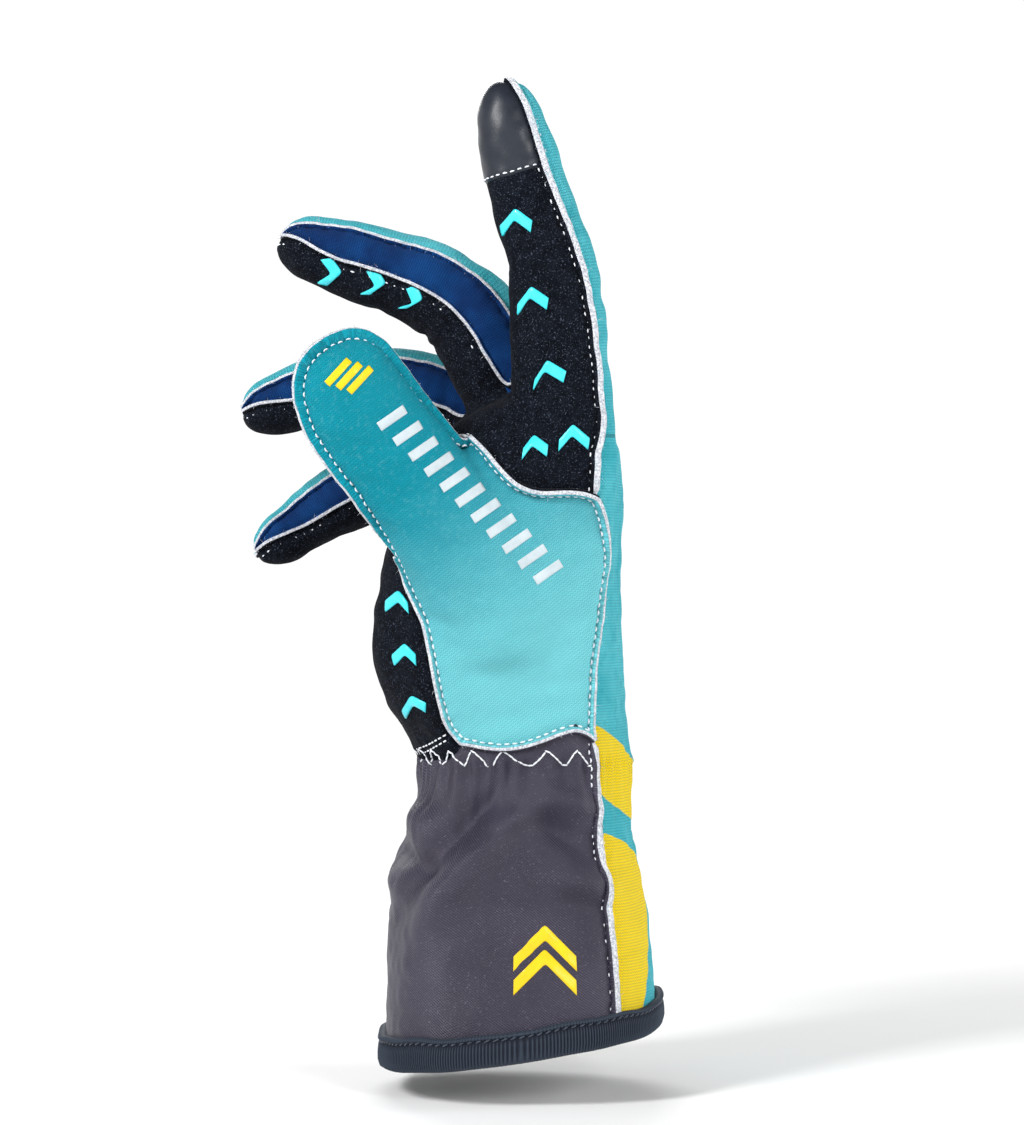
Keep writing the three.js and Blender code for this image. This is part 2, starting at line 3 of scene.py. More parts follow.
import bmesh
import bpy
import numpy as np
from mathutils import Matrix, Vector
from mathutils.bvhtree import BVHTree
from mathutils.kdtree import KDTree


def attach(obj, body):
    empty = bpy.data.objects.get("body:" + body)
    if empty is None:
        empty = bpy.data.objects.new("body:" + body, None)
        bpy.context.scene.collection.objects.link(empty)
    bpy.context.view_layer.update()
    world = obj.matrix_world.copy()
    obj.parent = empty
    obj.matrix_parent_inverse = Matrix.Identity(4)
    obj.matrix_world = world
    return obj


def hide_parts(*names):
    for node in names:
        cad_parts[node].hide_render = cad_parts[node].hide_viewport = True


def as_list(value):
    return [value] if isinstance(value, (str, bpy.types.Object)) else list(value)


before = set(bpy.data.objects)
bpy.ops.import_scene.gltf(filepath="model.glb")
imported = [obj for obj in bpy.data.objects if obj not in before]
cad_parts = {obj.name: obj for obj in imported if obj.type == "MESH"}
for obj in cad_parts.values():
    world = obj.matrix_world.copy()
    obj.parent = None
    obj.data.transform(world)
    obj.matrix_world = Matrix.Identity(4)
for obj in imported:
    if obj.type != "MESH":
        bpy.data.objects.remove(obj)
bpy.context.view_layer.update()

for item in list(bpy.context.selected_objects):
    item.select_set(False)

# Everything is worked out in millimetres and written into the meshes in metres.
# +X back of the hand, -X palm, -Y thumb, +Z fingers, origin in the middle of the open cuff.
mm = 0.001

bodySettings = {
    "gauntletLength": 74, "palmLength": 82, "cuffDepth": 73, "cuffWidth": 84, "handDepth": 66,
    "handBreadth": 84, "cuffTilt": 0.13, "knuckleSlope": 0.15, "roundness": 2.5, "ringStep": 2.0,
    "ringPoints": 96,
}
wristZ = bodySettings["gauntletLength"]
bodyHeight = bodySettings["gauntletLength"] + bodySettings["palmLength"]

# height, palm, back, thumb side, little side, tilt, slope, seam angle
gauntletRows = [
    (0.0, 0.5, 0.5, 0.5, 0.5, 1.0, 0, 50),
    (0.2, 0.492, 0.488, 0.49, 0.49, 0.8, 0, 50),
    (0.42, 0.49, 0.468, 0.47, 0.475, 0.5, 0, 50),
    (0.57, 0.468, 0.44, 0.45, 0.45, 0.3, 0, 50),
    (0.75, 0.44, 0.418, 0.42, 0.42, 0.1, 0, 51),
    (0.88, 0.4, 0.405, 0.39, 0.395, 0.0, 0, 52),
    (1.0, 0.358, 0.402, 0.372, 0.375, 0.0, 0, 53),
]
handRows = [
    (0.09, 0.45, 0.435, 0.385, 0.385, 0, 0, 52),
    (0.19, 0.54, 0.425, 0.415, 0.41, 0, 0, 48),
    (0.33, 0.58, 0.415, 0.445, 0.445, 0, 0, 46),
    (0.52, 0.59, 0.405, 0.475, 0.475, 0, 0.2, 46),
    (0.68, 0.58, 0.41, 0.49, 0.49, 0, 0.5, 47),
    (0.8, 0.52, 0.418, 0.495, 0.495, 0, 0.8, 50),
    (0.92, 0.42, 0.418, 0.49, 0.49, 0, 1.0, 52),
    (1.02, 0.34, 0.4, 0.47, 0.465, 0, 1.0, 54),
    (1.1, 0.26, 0.35, 0.42, 0.41, 0, 1.0, 56),
    (1.15, 0.12, 0.22, 0.3, 0.3, 0, 1.0, 58),
]
# angle from the back round by the little finger, height share, reach, angle spread, height spread
dents = [
    (172, 0.74, -7, 24, 0.11), (218, 0.7, 2.5, 28, 0.1), (140, 0.66, 3, 26, 0.13),
    (262, 0.36, -2.6, 16, 0.05), (240, 0.28, 1.8, 22, 0.06), (285, 0.2, -2.0, 14, 0.08),
    (190, 0.41, -2.2, 30, 0.03), (100, 0.3, -2.2, 22, 0.07), (30, 0.34, -1.4, 26, 0.06),
]

# part of the length, lean towards the palm in degrees, thickness and breadth shares
fingers = {
    "index": {
        "root": (14, -27, 120), "length": 122, "thickness": 27, "breadth": 23, "drift": -0.028, "tip": 0.5,
        "rows": [(0, 3, 0.6, 0.6), (0.286, 3.3, 1.0, 1.0), (0.23, 3.5, 0.96, 0.97), (0.19, 5.5, 0.875, 0.94),
                 (0.138, 18, 0.805, 0.89), (0.11, 15, 0.73, 0.83), (0.046, 13, 0.67, 0.77)]},
    "middle": {
        "root": (14, -8, 128), "length": 118, "thickness": 27, "breadth": 23, "drift": -0.01, "tip": 0.4,
        "rows": [(0, 4, 0.6, 0.7), (0.2, 5, 1.0, 1.0), (0.24, 32, 0.97, 0.98), (0.186, 30, 0.95, 0.96),
                 (0.075, 52, 0.92, 0.94), (0.103, 66, 0.84, 0.91), (0.125, 74, 0.76, 0.87),
                 (0.071, 76, 0.69, 0.81)]},
    "ring": {
        "root": (14, 12, 122), "length": 112, "thickness": 26, "breadth": 22, "drift": 0.01, "tip": 0.46,
        "rows": [(0, 2, 0.6, 0.7), (0.214, 3, 1.0, 1.0), (0.208, 46, 0.98, 0.98), (0.164, 60, 0.93, 0.95),
                 (0.114, 70, 0.85, 0.93), (0.125, 86, 0.79, 0.91), (0.11, 102, 0.71, 0.85),
                 (0.065, 111, 0.64, 0.78)]},
    "little": {
        "root": (7, 30, 112), "length": 96, "thickness": 23, "breadth": 20, "drift": 0.03, "tip": 0.54,
        "rows": [(0, 9, 0.6, 0.6), (0.233, 11, 1.0, 1.0), (0.225, 56, 0.98, 0.98), (0.173, 74, 0.92, 0.94),
                 (0.116, 96, 0.87, 0.91), (0.119, 118, 0.82, 0.87), (0.099, 123, 0.72, 0.79),
                 (0.04, 127, 0.64, 0.73)]},
    "thumb": {
        "root": (6, -22, 96), "length": 101, "thickness": 32, "breadth": 38, "drift": -0.3, "tip": 0.36,
        "back": (0.3, -1, 0.1),
        "rows": [(0, 27, 0.5, 0.5), (0.166, 27, 0.97, 0.98), (0.258, 32, 0.84, 0.87), (0.158, 36, 0.77, 0.79),
                 (0.13, 40, 0.74, 0.755), (0.102, 40, 0.71, 0.75), (0.096, 34, 0.68, 0.735),
                 (0.052, 22, 0.6, 0.68)]},
}


def smoothStep(low, high, value):
    share = np.clip((value - low) / (high - low), 0, 1)
    return share * share * (3 - 2 * share)


def unit(rows):
    return rows / np.maximum(np.linalg.norm(rows, axis=-1, keepdims=True), 1e-9)


def wrapped(degrees):
    return (degrees + 180) % 360 - 180


def softened(values, times):
    values = np.array(values, dtype=float)
    for _ in range(times):
        values[1:-1] = (values[:-2] + 2 * values[1:-1] + values[2:]) / 4
    return values


def bodyTable():
    s = bodySettings
    rows = []
    for h, p, b, t, l, tilt, slope, seam in gauntletRows:
        rows.append((h * s["gauntletLength"], p * s["cuffDepth"], b * s["cuffDepth"], t * s["cuffWidth"],
                     l * s["cuffWidth"], tilt * s["cuffTilt"], slope, seam))
    for h, p, b, t, l, tilt, slope, seam in handRows:
        rows.append((wristZ + h * s["palmLength"], p * s["handDepth"], b * s["handDepth"],
                     t * s["handBreadth"], l * s["handBreadth"], tilt, slope * s["knuckleSlope"], seam))
    return np.array(rows)


bodyRows = bodyTable()
levels = np.arange(-16, bodyRows[-1, 0] + 0.1, 1.0)
bodyDense = softened(np.stack([np.interp(levels, bodyRows[:, 0], bodyRows[:, k]) for k in range(8)], 1), 12)


def bodyAt(z):
    return [np.interp(z, bodyDense[:, 0], bodyDense[:, k]) for k in range(8)]


def bodyPoint(angle, z, grow=0.0):
    # a point of the hand and gauntlet wall, with the larger dents
    _, palm, back, thumb, little, tilt, slope, _ = bodyAt(z)
    turn = np.radians(angle)
    power = 2 / bodySettings["roundness"]
    c, s = np.cos(turn), np.sin(turn)
    relief = np.zeros_like(turn) + grow
    for a, h, reach, spreadA, spreadH in dents:
        relief = relief + reach * np.exp(-(wrapped(angle - a) / spreadA) ** 2
                                         - ((z / bodyHeight - h) / spreadH) ** 2)
    x = (back - palm) / 2 + np.sign(c) * np.abs(c) ** power * (back + palm) / 2 + c * relief
    y = (little - thumb) / 2 + np.sign(s) * np.abs(s) ** power * (little + thumb) / 2 + s * relief
    return np.stack([x, y, z + tilt * x - slope * y], -1)


def fingerStations(finger):
    # centre, direction, back, side and half sizes about every millimetre along a finger
    centre = np.array(finger["root"], dtype=float)
    points, sizes = [centre.copy()], [(finger["rows"][0][2], finger["rows"][0][3])]
    for part, lean, thick, wide in finger["rows"][1:]:
        way = np.array([-math.sin(math.radians(lean)), finger["drift"], math.cos(math.radians(lean))])
        way /= np.linalg.norm(way)
        centre = centre + way * part * finger["length"]
        points.append(centre.copy())
        sizes.append((thick, wide))
    points, sizes = np.array(points), np.array(sizes)
    along = np.concatenate([[0], np.cumsum(np.linalg.norm(np.diff(points, axis=0), axis=1))])
    dense = np.linspace(0, along[-1], int(along[-1]))
    centres = np.stack([np.interp(dense, along, points[:, k]) for k in range(3)], 1)
    centres = softened(centres, 30)
    thick = softened(np.interp(dense, along, sizes[:, 0]), 16) * finger["thickness"] / 2
    wide = softened(np.interp(dense, along, sizes[:, 1]), 16) * finger["breadth"] / 2
    ahead = unit(np.gradient(centres, axis=0))
    # rounded tip
    tipLength = finger["tip"] * finger["thickness"]
    bends = np.radians(np.linspace(6, 87, 14))
    tips = centres[-1] + ahead[-1] * (tipLength * np.sin(bends))[:, None]
    centres = np.concatenate([centres, tips])
    thick = np.concatenate([thick, thick[-1] * np.cos(bends)])
    wide = np.concatenate([wide, wide[-1] * np.cos(bends)])
    ahead = np.concatenate([ahead, np.repeat(ahead[-1:], len(bends), 0)])
    if "back" in finger:
        reference = np.array(finger["back"], dtype=float)
        back = unit(reference - ahead * (ahead @ reference)[:, None])
    else:
        back = unit(np.cross(np.array([0.0, 1.0, 0.0]), ahead))
    side = np.cross(ahead, back)
    s = np.concatenate([[0], np.cumsum(np.linalg.norm(np.diff(centres, axis=0), axis=1))])
    return {"centre": centres, "ahead": ahead, "back": back, "side": side, "thick": thick, "wide": wide, "s": s,
            "tipStart": s[-len(bends)]}


tubes = {name: fingerStations(finger) for name, finger in fingers.items()}


def tubePoint(tube, number, angle, grow=0.0):
    turn = math.radians(angle)
    power = 2 / 2.3
    c = math.copysign(abs(math.cos(turn)) ** power, math.cos(turn)) * (tube["thick"][number] + grow)
    s = math.copysign(abs(math.sin(turn)) ** power, math.sin(turn)) * (tube["wide"][number] + grow)
    return tube["centre"][number] + tube["back"][number] * c + tube["side"][number] * s


def meshObject(name, points, faces, smooth=True):
    # an object from millimetre points
    mesh = bpy.data.meshes.new(name)
    mesh.from_pydata([tuple(p) for p in np.asarray(points) * mm], [], [tuple(f) for f in faces])
    mesh.update()
    piece = bpy.data.objects.new(name, mesh)
    bpy.context.scene.collection.objects.link(piece)
    if smooth:
        mesh.polygons.foreach_set("use_smooth", [True] * len(mesh.polygons))
    return piece


def ringFaces(ringCount, pointCount, start=0, closed=True):
    faces = []
    for row in range(ringCount - 1):
        for k in range(pointCount if closed else pointCount - 1):
            a = start + row * pointCount + k
            b = start + row * pointCount + (k + 1) % pointCount
            faces.append((a, b, b + pointCount, a + pointCount))
    return faces


def applyModifiers(piece):
    bpy.context.view_layer.objects.active = piece
    piece.select_set(True)
    for modifier in list(piece.modifiers):
        bpy.ops.object.modifier_apply(modifier=modifier.name)
    piece.select_set(False)


skinSettings = {"voxel": 1.05, "smoothing": 14, "webSmoothing": 22}


def gloveForm():
    # one closed form of hand, gauntlet, fingers and thumb, remeshed into a single even skin
    points, faces = [], []
    heights = np.arange(-14, bodyRows[-1, 0] + 0.1, bodySettings["ringStep"])
    count = bodySettings["ringPoints"]
    angles = np.arange(count) * 360 / count
    for z in heights:
        points.extend(bodyPoint(angles, np.full(count, z)))
    top = np.array(points[-count:])
    points.extend(top * 0.45 + top.mean(0) * 0.55 + np.array([0, 0, 2.2]))
    faces.extend(ringFaces(len(heights) + 1, count))
    faces.append(tuple(reversed(range(count))))
    last = len(points) - count
    faces.append(tuple(range(last, last + count)))
    for tube in tubes.values():
        start = len(points)
        count = 40
        picks = list(range(0, len(tube["s"]) - 14, 2)) + list(range(len(tube["s"]) - 14, len(tube["s"])))
        for number in picks:
            points.extend(tubePoint(tube, number, k * 360 / count) for k in range(count))
        faces.extend(ringFaces(len(picks), count, start))
        faces.append(tuple(reversed(range(start, start + count))))
        last = len(points) - count
        faces.append(tuple(range(last, last + count)))
    form = meshObject("gloveForm", points, faces)
    remesh = form.modifiers.new("even skin", "REMESH")
    remesh.mode = "VOXEL"
    remesh.voxel_size = skinSettings["voxel"] * mm
    applyModifiers(form)
    return form


def meshArrays(mesh):
    coords = np.empty(len(mesh.vertices) * 3)
    mesh.vertices.foreach_get("co", coords)
    edges = np.empty(len(mesh.edges) * 2, dtype=np.int64)
    mesh.edges.foreach_get("vertices", edges)
    return coords.reshape(-1, 3) / mm, edges.reshape(-1, 2)


def relaxed(coords, edges, times, strength=0.5, weight=None):
    # even out the points along their edges
    count = np.bincount(edges.ravel(), minlength=len(coords)).astype(float)[:, None]
    for _ in range(times):
        total = np.zeros_like(coords)
        for k in range(3):
            total[:, k] = (np.bincount(edges[:, 0], coords[edges[:, 1], k], len(coords))
                           + np.bincount(edges[:, 1], coords[edges[:, 0], k], len(coords)))
        step = (total / count - coords) * strength
        coords = coords + (step if weight is None else step * weight[:, None])
    return coords


def tubeCoordinates(tube, points):
    # nearest place along a finger, angle from its back, normalised radius and half size there
    nearest = np.zeros(len(points), dtype=np.int64)
    for begin in range(0, len(points), 8000):
        block = points[begin:begin + 8000]
        gap = ((block[:, None, :] - tube["centre"][None, :, :]) ** 2).sum(-1)
        nearest[begin:begin + 8000] = gap.argmin(1)
    offset = points - tube["centre"][nearest]
    b = (offset * tube["back"][nearest]).sum(-1)
    s = (offset * tube["side"][nearest]).sum(-1)
    a = (offset * tube["ahead"][nearest]).sum(-1)
    thick, wide = np.maximum(tube["thick"][nearest], 2.0), np.maximum(tube["wide"][nearest], 2.0)
    angle = np.degrees(np.arctan2(s / wide, b / thick))
    size = (thick + wide) / 2
    radius = np.sqrt((b / thick) ** 2 + (s / wide) ** 2)
    return {"s": tube["s"][nearest] + a, "angle": angle, "radius": radius, "size": size}


def sectorField(place, low, high, start, reach=2.2):
    # how far a point lies inside a sector of a finger, in mm, below zero outside
    middle, half = (low + high) / 2, (high - low) / 2
    angular = (half - np.abs(wrapped(place["angle"] - middle))) * np.pi / 180 * place["size"] * place["radius"]
    radial = place["size"] * (1 - place["radius"]) + reach
    return np.minimum(np.minimum(angular, radial), place["s"] - start)


def outlineField(corners, x, z):
    # signed distance inside an outline seen from the thumb side
    corners = np.array(corners, dtype=float)
    best = np.full(len(x), 1e9)
    inside = np.zeros(len(x), dtype=bool)
    for k in range(len(corners)):
        a, b = corners[k], corners[(k + 1) % len(corners)]
        d = b - a
        t = np.clip(((x - a[0]) * d[0] + (z - a[1]) * d[1]) / (d @ d), 0, 1)
        best = np.minimum(best, np.hypot(x - a[0] - t * d[0], z - a[1] - t * d[1]))
        crosses = ((a[1] > z) != (b[1] > z)) & (x < (b[0] - a[0]) * (z - a[1]) / (b[1] - a[1] + 1e-12) + a[0])
        inside ^= crosses
    return np.where(inside, best, -best)


seamPlan = {
    "indexNear": -60, "fingerBack": 50, "fingerSide": 98, "ulnar": 100, "thumbHalf": 84, "thumbStart": 44,
    "wristDrop": 2.0, "thumbRise": 13.0, "crotch": 9.0,
}
# the gusset seen from the thumb side, x and z in mm, from the palm corner round by the wrist
gussetOutline = [
    (-18.4, 82.0), (-11, 79.2), (-2.2, 78.6), (5, 80.6), (12, 84), (18.0, 87.4), (18.9, 95), (19.8, 103),
    (21.4, 118), (22.4, 128), (22.2, 135.5), (20.5, 141.5), (17.7, 146.2), (11, 146), (4, 144.6),
    (-3.4, 144.6), (-14, 150), (-26, 152), (-37, 142), (-35.6, 134), (-33.2, 128.5), (-29.6, 121.5),
    (-26.0, 116), (-24.4, 109), (-22.8, 101.8), (-21.2, 92.5),
]


def seamFields(points):
    # how far each point lies inside each panel's own region, in mm, whichever panel wins there
    places = {name: tubeCoordinates(tube, points) for name, tube in tubes.items()}
    x, y, z = points.T
    row = bodyAt(z)
    middleX, middleY = (row[2] - row[1]) / 2, (row[4] - row[3]) / 2
    halfX, halfY = (row[2] + row[1]) / 2, (row[4] + row[3]) / 2
    angle = np.degrees(np.arctan2((y - middleY) / halfY, (x - middleX) / halfX))
    size = (halfX + halfY) / 2
    # above the knuckle the index finger's own border takes over
    low = -row[7] + 45 * smoothStep(156, 176, z)
    high = np.full(len(x), float(seamPlan["ulnar"]))
    middle, half = (low + high) / 2, (high - low) / 2
    bodyBack = (half - np.abs(wrapped(angle - middle))) * np.pi / 180 * size
    handTop = 178 - z
    back = np.minimum(bodyBack, handTop)
    b = seamPlan["fingerBack"]
    for name, low, high in (("index", seamPlan["indexNear"], b), ("middle", -b, b), ("ring", -b, b),
                            ("little", -b, seamPlan["ulnar"] - 10)):
        start = 34 if name == "index" else 22
        if name == "index":
            low = low + 14 * smoothStep(110, 60, places[name]["s"])
        back = np.maximum(back, sectorField(places[name], low, high, start))
    fields = {}
    side = seamPlan["fingerSide"]
    for first, second in (("index", "middle"), ("middle", "ring"), ("ring", "little")):
        strips = []
        for name, sign in ((first, 1), (second, -1)):
            place = places[name]
            tube = tubes[name]
            narrow = 26 * smoothStep(tube["tipStart"] - 6, tube["tipStart"] + 8, place["s"])
            top = side - narrow
            middle, half = sign * (b + top) / 2, (top - b) / 2
            angular = (half - np.abs(wrapped(place["angle"] - middle))) * np.pi / 180
            angular = angular * place["size"] * place["radius"]
            radial = place["size"] * (1 - place["radius"]) + 2.2
            strips.append(np.minimum(np.minimum(angular, radial), place["s"] - 26))
        fields[first + "Side"] = np.maximum(*strips)
    thumb = places["thumb"]
    h = seamPlan["thumbHalf"]
    onThumb = sectorField(thumb, -h, h, seamPlan["thumbStart"], 4.0)
    # on the palm side the gusset stays on the part of the thumb's root that faces the viewer
    front = 6 + smoothStep(104, 134, z) * (18 + 16 * smoothStep(-10, -24, x))
    gusset = np.minimum(outlineField(gussetOutline, x, z), -front - y)
    share = np.clip(0.5 + 0.5 * (onThumb - gusset) / seamPlan["crotch"], 0, 1)
    fields["thumb"] = onThumb * share + gusset * (1 - share) + seamPlan["crotch"] * share * (1 - share)
    fields["back"] = back
    rise = seamPlan["thumbRise"] * np.exp(-(wrapped(angle - 275) / 34) ** 4)
    fields["gauntlet"] = wristZ + seamPlan["wristDrop"] + rise - z + 0.8 * np.sin(np.radians(angle) * 3)
    thumbFar = np.minimum(thumb["size"] * (1 - thumb["radius"]) + 4.0, thumb["s"] - 52)
    fields["thumbFront"] = thumbFar
    return fields, places, angle


panelOrder = ["thumb", "indexSide", "middleSide", "ringSide", "back", "gauntlet", "thumbFront"]


def cutSkin(form):
    # cuts the skin along every panel border and labels its faces with the panel that holds them
    coords, edges = meshArrays(form.data)
    coords = relaxed(coords, edges, skinSettings["smoothing"])
    nearWeb = np.zeros(len(coords))
    for a, b in (("index", "middle"), ("middle", "ring"), ("ring", "little"), ("thumb", "index")):
        first, second = tubeCoordinates(tubes[a], coords), tubeCoordinates(tubes[b], coords)
        nearFirst = np.exp(-(np.maximum(first["radius"] - 1, 0) * first["size"] / 6) ** 2)
        nearSecond = np.exp(-(np.maximum(second["radius"] - 1, 0) * second["size"] / 6) ** 2)
        nearWeb = np.maximum(nearWeb, nearFirst * nearSecond)
    coords = relaxed(coords, edges, skinSettings["webSmoothing"], 0.5, nearWeb)
    bm = bmesh.new()
    bm.from_mesh(form.data)
    bm.verts.ensure_lookup_table()
    for vertex, point in zip(bm.verts, coords):
        vertex.co = point
    fields, _, _ = seamFields(coords)
    cuffPlane = coords[:, 2] - bodySettings["cuffTilt"] * coords[:, 0]
    fields["cuff"] = cuffPlane
    names = ["cuff"] + panelOrder
    layers = {name: bm.verts.layers.float.new(name) for name in names}
    for name in names:
        layer = layers[name]
        values = fields[name]
        for vertex, value in zip(bm.verts, values):
            vertex[layer] = float(value)
    for name in names:
        cutAlong(bm, layers, name)
        if name == "cuff":
            gone = [face for face in bm.faces if sum(v[layers["cuff"]] for v in face.verts) < 0]
            bmesh.ops.delete(bm, geom=gone, context="FACES")
    labels = []
    bm.faces.ensure_lookup_table()
    for face in bm.faces:
        label = "palm"
        for name in panelOrder:
            layer = layers[name]
            if sum(v[layer] for v in face.verts) > 0:
                label = name
                break
        labels.append(label)
    return bm, labels


def cutAlong(bm, layers, name):
    # splits edges and faces where the named field passes through zero
    layer = layers[name]
    snap = 0.12
    for vertex in bm.verts:
        if abs(vertex[layer]) < snap:
            vertex[layer] = 0.0
    crossing = [e for e in bm.edges if e.verts[0][layer] * e.verts[1][layer] < 0]
    touched = set()
    for edge in crossing:
        a, b = edge.verts
        share = a[layer] / (a[layer] - b[layer])
        if abs(a[layer] - b[layer]) > 8:
            share = 0.5
        values = {key: a[item] * (1 - share) + b[item] * share for key, item in layers.items()}
        faces = set(edge.link_faces)
        _, fresh = bmesh.utils.edge_split(edge, a, share)
        for key, item in layers.items():
            fresh[item] = values[key]
        fresh[layer] = 0.0
        touched |= faces
        touched |= set(fresh.link_faces)
    for face in list(touched):
        if not face.is_valid:
            continue
        zeros = [v for v in face.verts if v[layer] == 0.0]
        if len(zeros) < 2:
            continue
        done = False
        for i, first in enumerate(zeros):
            for second in zeros[i + 1:]:
                if any(second in e.verts for e in first.link_edges):
                    continue
                try:
                    bmesh.utils.face_split(face, first, second)
                    done = True
                except ValueError:
                    pass
                break
            if done:
                break


def tidyLabels(bm, labels):
    # small islands of faces join the panel round them
    bm.faces.index_update()
    seen = [False] * len(labels)
    faces = list(bm.faces)
    for face in faces:
        if seen[face.index]:
            continue
        island, queue = [], [face]
        seen[face.index] = True
        while queue:
            item = queue.pop()
            island.append(item)
            for edge in item.edges:
                for other in edge.link_faces:
                    if not seen[other.index] and labels[other.index] == labels[face.index]:
                        seen[other.index] = True
                        queue.append(other)
        if len(island) < 250:
            around = {}
            for item in island:
                for edge in item.edges:
                    for other in edge.link_faces:
                        label = labels[other.index]
                        if label != labels[face.index]:
                            around[label] = around.get(label, 0) + 1
            if around:
                best = max(around, key=around.get)
                for item in island:
                    labels[item.index] = best
    return labels


def borderLines(bm, labels):
    # polylines between panels, keyed by the two panel names
    links = {}
    for edge in bm.edges:
        if len(edge.link_faces) != 2:
            continue
        a, b = (labels[face.index] for face in edge.link_faces)
        if a != b:
            key = tuple(sorted((a, b)))
            links.setdefault(key, {})
            for first, second in (edge.verts, reversed(edge.verts)):
                links[key].setdefault(first, []).append(second)
    lines = {}
    for key, joins in links.items():
        used = set()
        starts = [v for v, others in joins.items() if len(others) != 2] + list(joins)
        for start in starts:
            for nextVertex in joins[start]:
                if frozenset((start, nextVertex)) in used:
                    continue
                line = [start, nextVertex]
                used.add(frozenset((start, nextVertex)))
                while len(joins[line[-1]]) == 2:
                    options = [v for v in joins[line[-1]] if frozenset((line[-1], v)) not in used]
                    if not options:
                        break
                    used.add(frozenset((line[-1], options[0])))
                    line.append(options[0])
                points = np.array([v.co for v in line])
                length = np.linalg.norm(np.diff(points, axis=0), axis=1).sum()
                if length > 9:
                    lines.setdefault(key, []).append(evenLine(points, 0.8))
    return lines


def evenLine(points, step, smoothing=14):
    # the same line with points evenly spaced and its kinks eased
    closed = np.linalg.norm(points[0] - points[-1]) < 1e-6
    for _ in range(2):
        along = np.concatenate([[0], np.cumsum(np.linalg.norm(np.diff(points, axis=0), axis=1))])
        places = np.linspace(0, along[-1], max(4, int(along[-1] / step)))
        points = np.stack([np.interp(places, along, points[:, k]) for k in range(3)], 1)
        if closed:
            ring = np.concatenate([points[-9:-1], points, points[1:9]])
            points = softened(ring, smoothing)[8:-8]
            points[-1] = points[0]
        else:
            points = softened(points, smoothing)
    return points


def vertexNormals(points, triangles):
    corners = points[triangles]
    flat = np.cross(corners[:, 1] - corners[:, 0], corners[:, 2] - corners[:, 0])
    total = np.zeros_like(points)
    for k in range(3):
        for axis in range(3):
            total[:, axis] += np.bincount(triangles[:, k], flat[:, axis], len(points))
    return unit(total)


def waveNoise(points, size, seed, layers=3):
    # smooth value between about -1 and 1 made of a few crossing waves
    random = np.random.default_rng(seed)
    value = np.zeros(len(points))
    for k in range(layers * 5):
        way = unit(random.normal(size=(1, 3)))[0]
        scale = size * random.uniform(0.7, 1.5)
        value += np.sin(points @ way * 2 * np.pi / scale + random.uniform(0, 6.28))
    return value / math.sqrt(layers * 5)


reliefSettings = {
    "groove": 0.55, "grooveWidth": 1.5, "puff": 0.35, "puffReach": 7, "pucker": 0.2, "puckerPitch": 4.4,
    "gather": 0.75, "gatherCount": 40, "crease": 0.35, "creaseSize": 17,
    "foldShare": 1.25,
}
# long soft folds of the gauntlet: angle, z, how they lean, depth, width and length in mm
gauntletFolds = [
    {"angle": 291, "z": 57, "lean": 0.55, "depth": -3.0, "width": 3.4, "length": 10},
    {"angle": 296, "z": 65, "lean": 0.35, "depth": 1.8, "width": 3.2, "length": 11},
    {"angle": 272, "z": 62, "lean": -0.35, "depth": 2.2, "width": 3.6, "length": 11},
    {"angle": 258, "z": 53, "lean": -0.95, "depth": 2.6, "width": 4.2, "length": 12},
    {"angle": 248, "z": 61, "lean": -1.2, "depth": -2.2, "width": 3.4, "length": 11},
    {"angle": 238, "z": 42, "lean": -1.6, "depth": 2.2, "width": 4.6, "length": 17},
    {"angle": 226, "z": 48, "lean": -1.3, "depth": -2.4, "width": 4.0, "length": 17},
    {"angle": 302, "z": 44, "lean": 0.35, "depth": 2.4, "width": 4.4, "length": 9},
    {"angle": 280, "z": 40, "lean": 0.25, "depth": -1.4, "width": 4.6, "length": 14},
    {"angle": 262, "z": 24, "lean": -0.5, "depth": -1.0, "width": 6.0, "length": 20},
    {"angle": 212, "z": 60, "lean": 0.2, "depth": 2.4, "width": 4.4, "length": 12},
    {"angle": 206, "z": 50, "lean": 0.2, "depth": -2.6, "width": 3.0, "length": 14},
    {"angle": 196, "z": 42, "lean": 0.2, "depth": 1.6, "width": 4.4, "length": 15},
    {"angle": 160, "z": 54, "lean": -0.3, "depth": -2.0, "width": 4.0, "length": 18},
    {"angle": 140, "z": 40, "lean": 0.5, "depth": 1.6, "width": 5.0, "length": 18},
    {"angle": 10, "z": 60, "lean": -0.3, "depth": -1.2, "width": 4.0, "length": 18},
    {"angle": 206, "z": 104, "lean": 0.0, "depth": 1.8, "width": 17, "length": 20},
    {"angle": 40, "z": 48, "lean": 0.4, "depth": 1.1, "width": 5.0, "length": 16},
    {"angle": 80, "z": 56, "lean": -0.4, "depth": -1.6, "width": 4.4, "length": 16},
    {"angle": 110, "z": 44, "lean": 0.5, "depth": 1.4, "width": 5.0, "length": 16},
]
# creases where the fingers bend, across the finger: finger, distance along it, depth, width
fingerCreases = [
    ("index", 88, 0.5, 2.2), ("index", 60, 0.45, 3.0), ("middle", 80, 0.9, 2.4), ("middle", 72, 0.5, 2.0),
    ("middle", 96, 0.4, 2.2), ("ring", 66, 0.8, 2.4), ("ring", 58, 0.5, 2.2), ("ring", 88, 0.5, 2.2),
    ("little", 60, 0.8, 2.2), ("little", 52, 0.5, 2.0), ("little", 74, 0.5, 2.0),
    ("thumb", 74, 0.5, 2.4), ("thumb", 66, 0.35, 2.2),
]


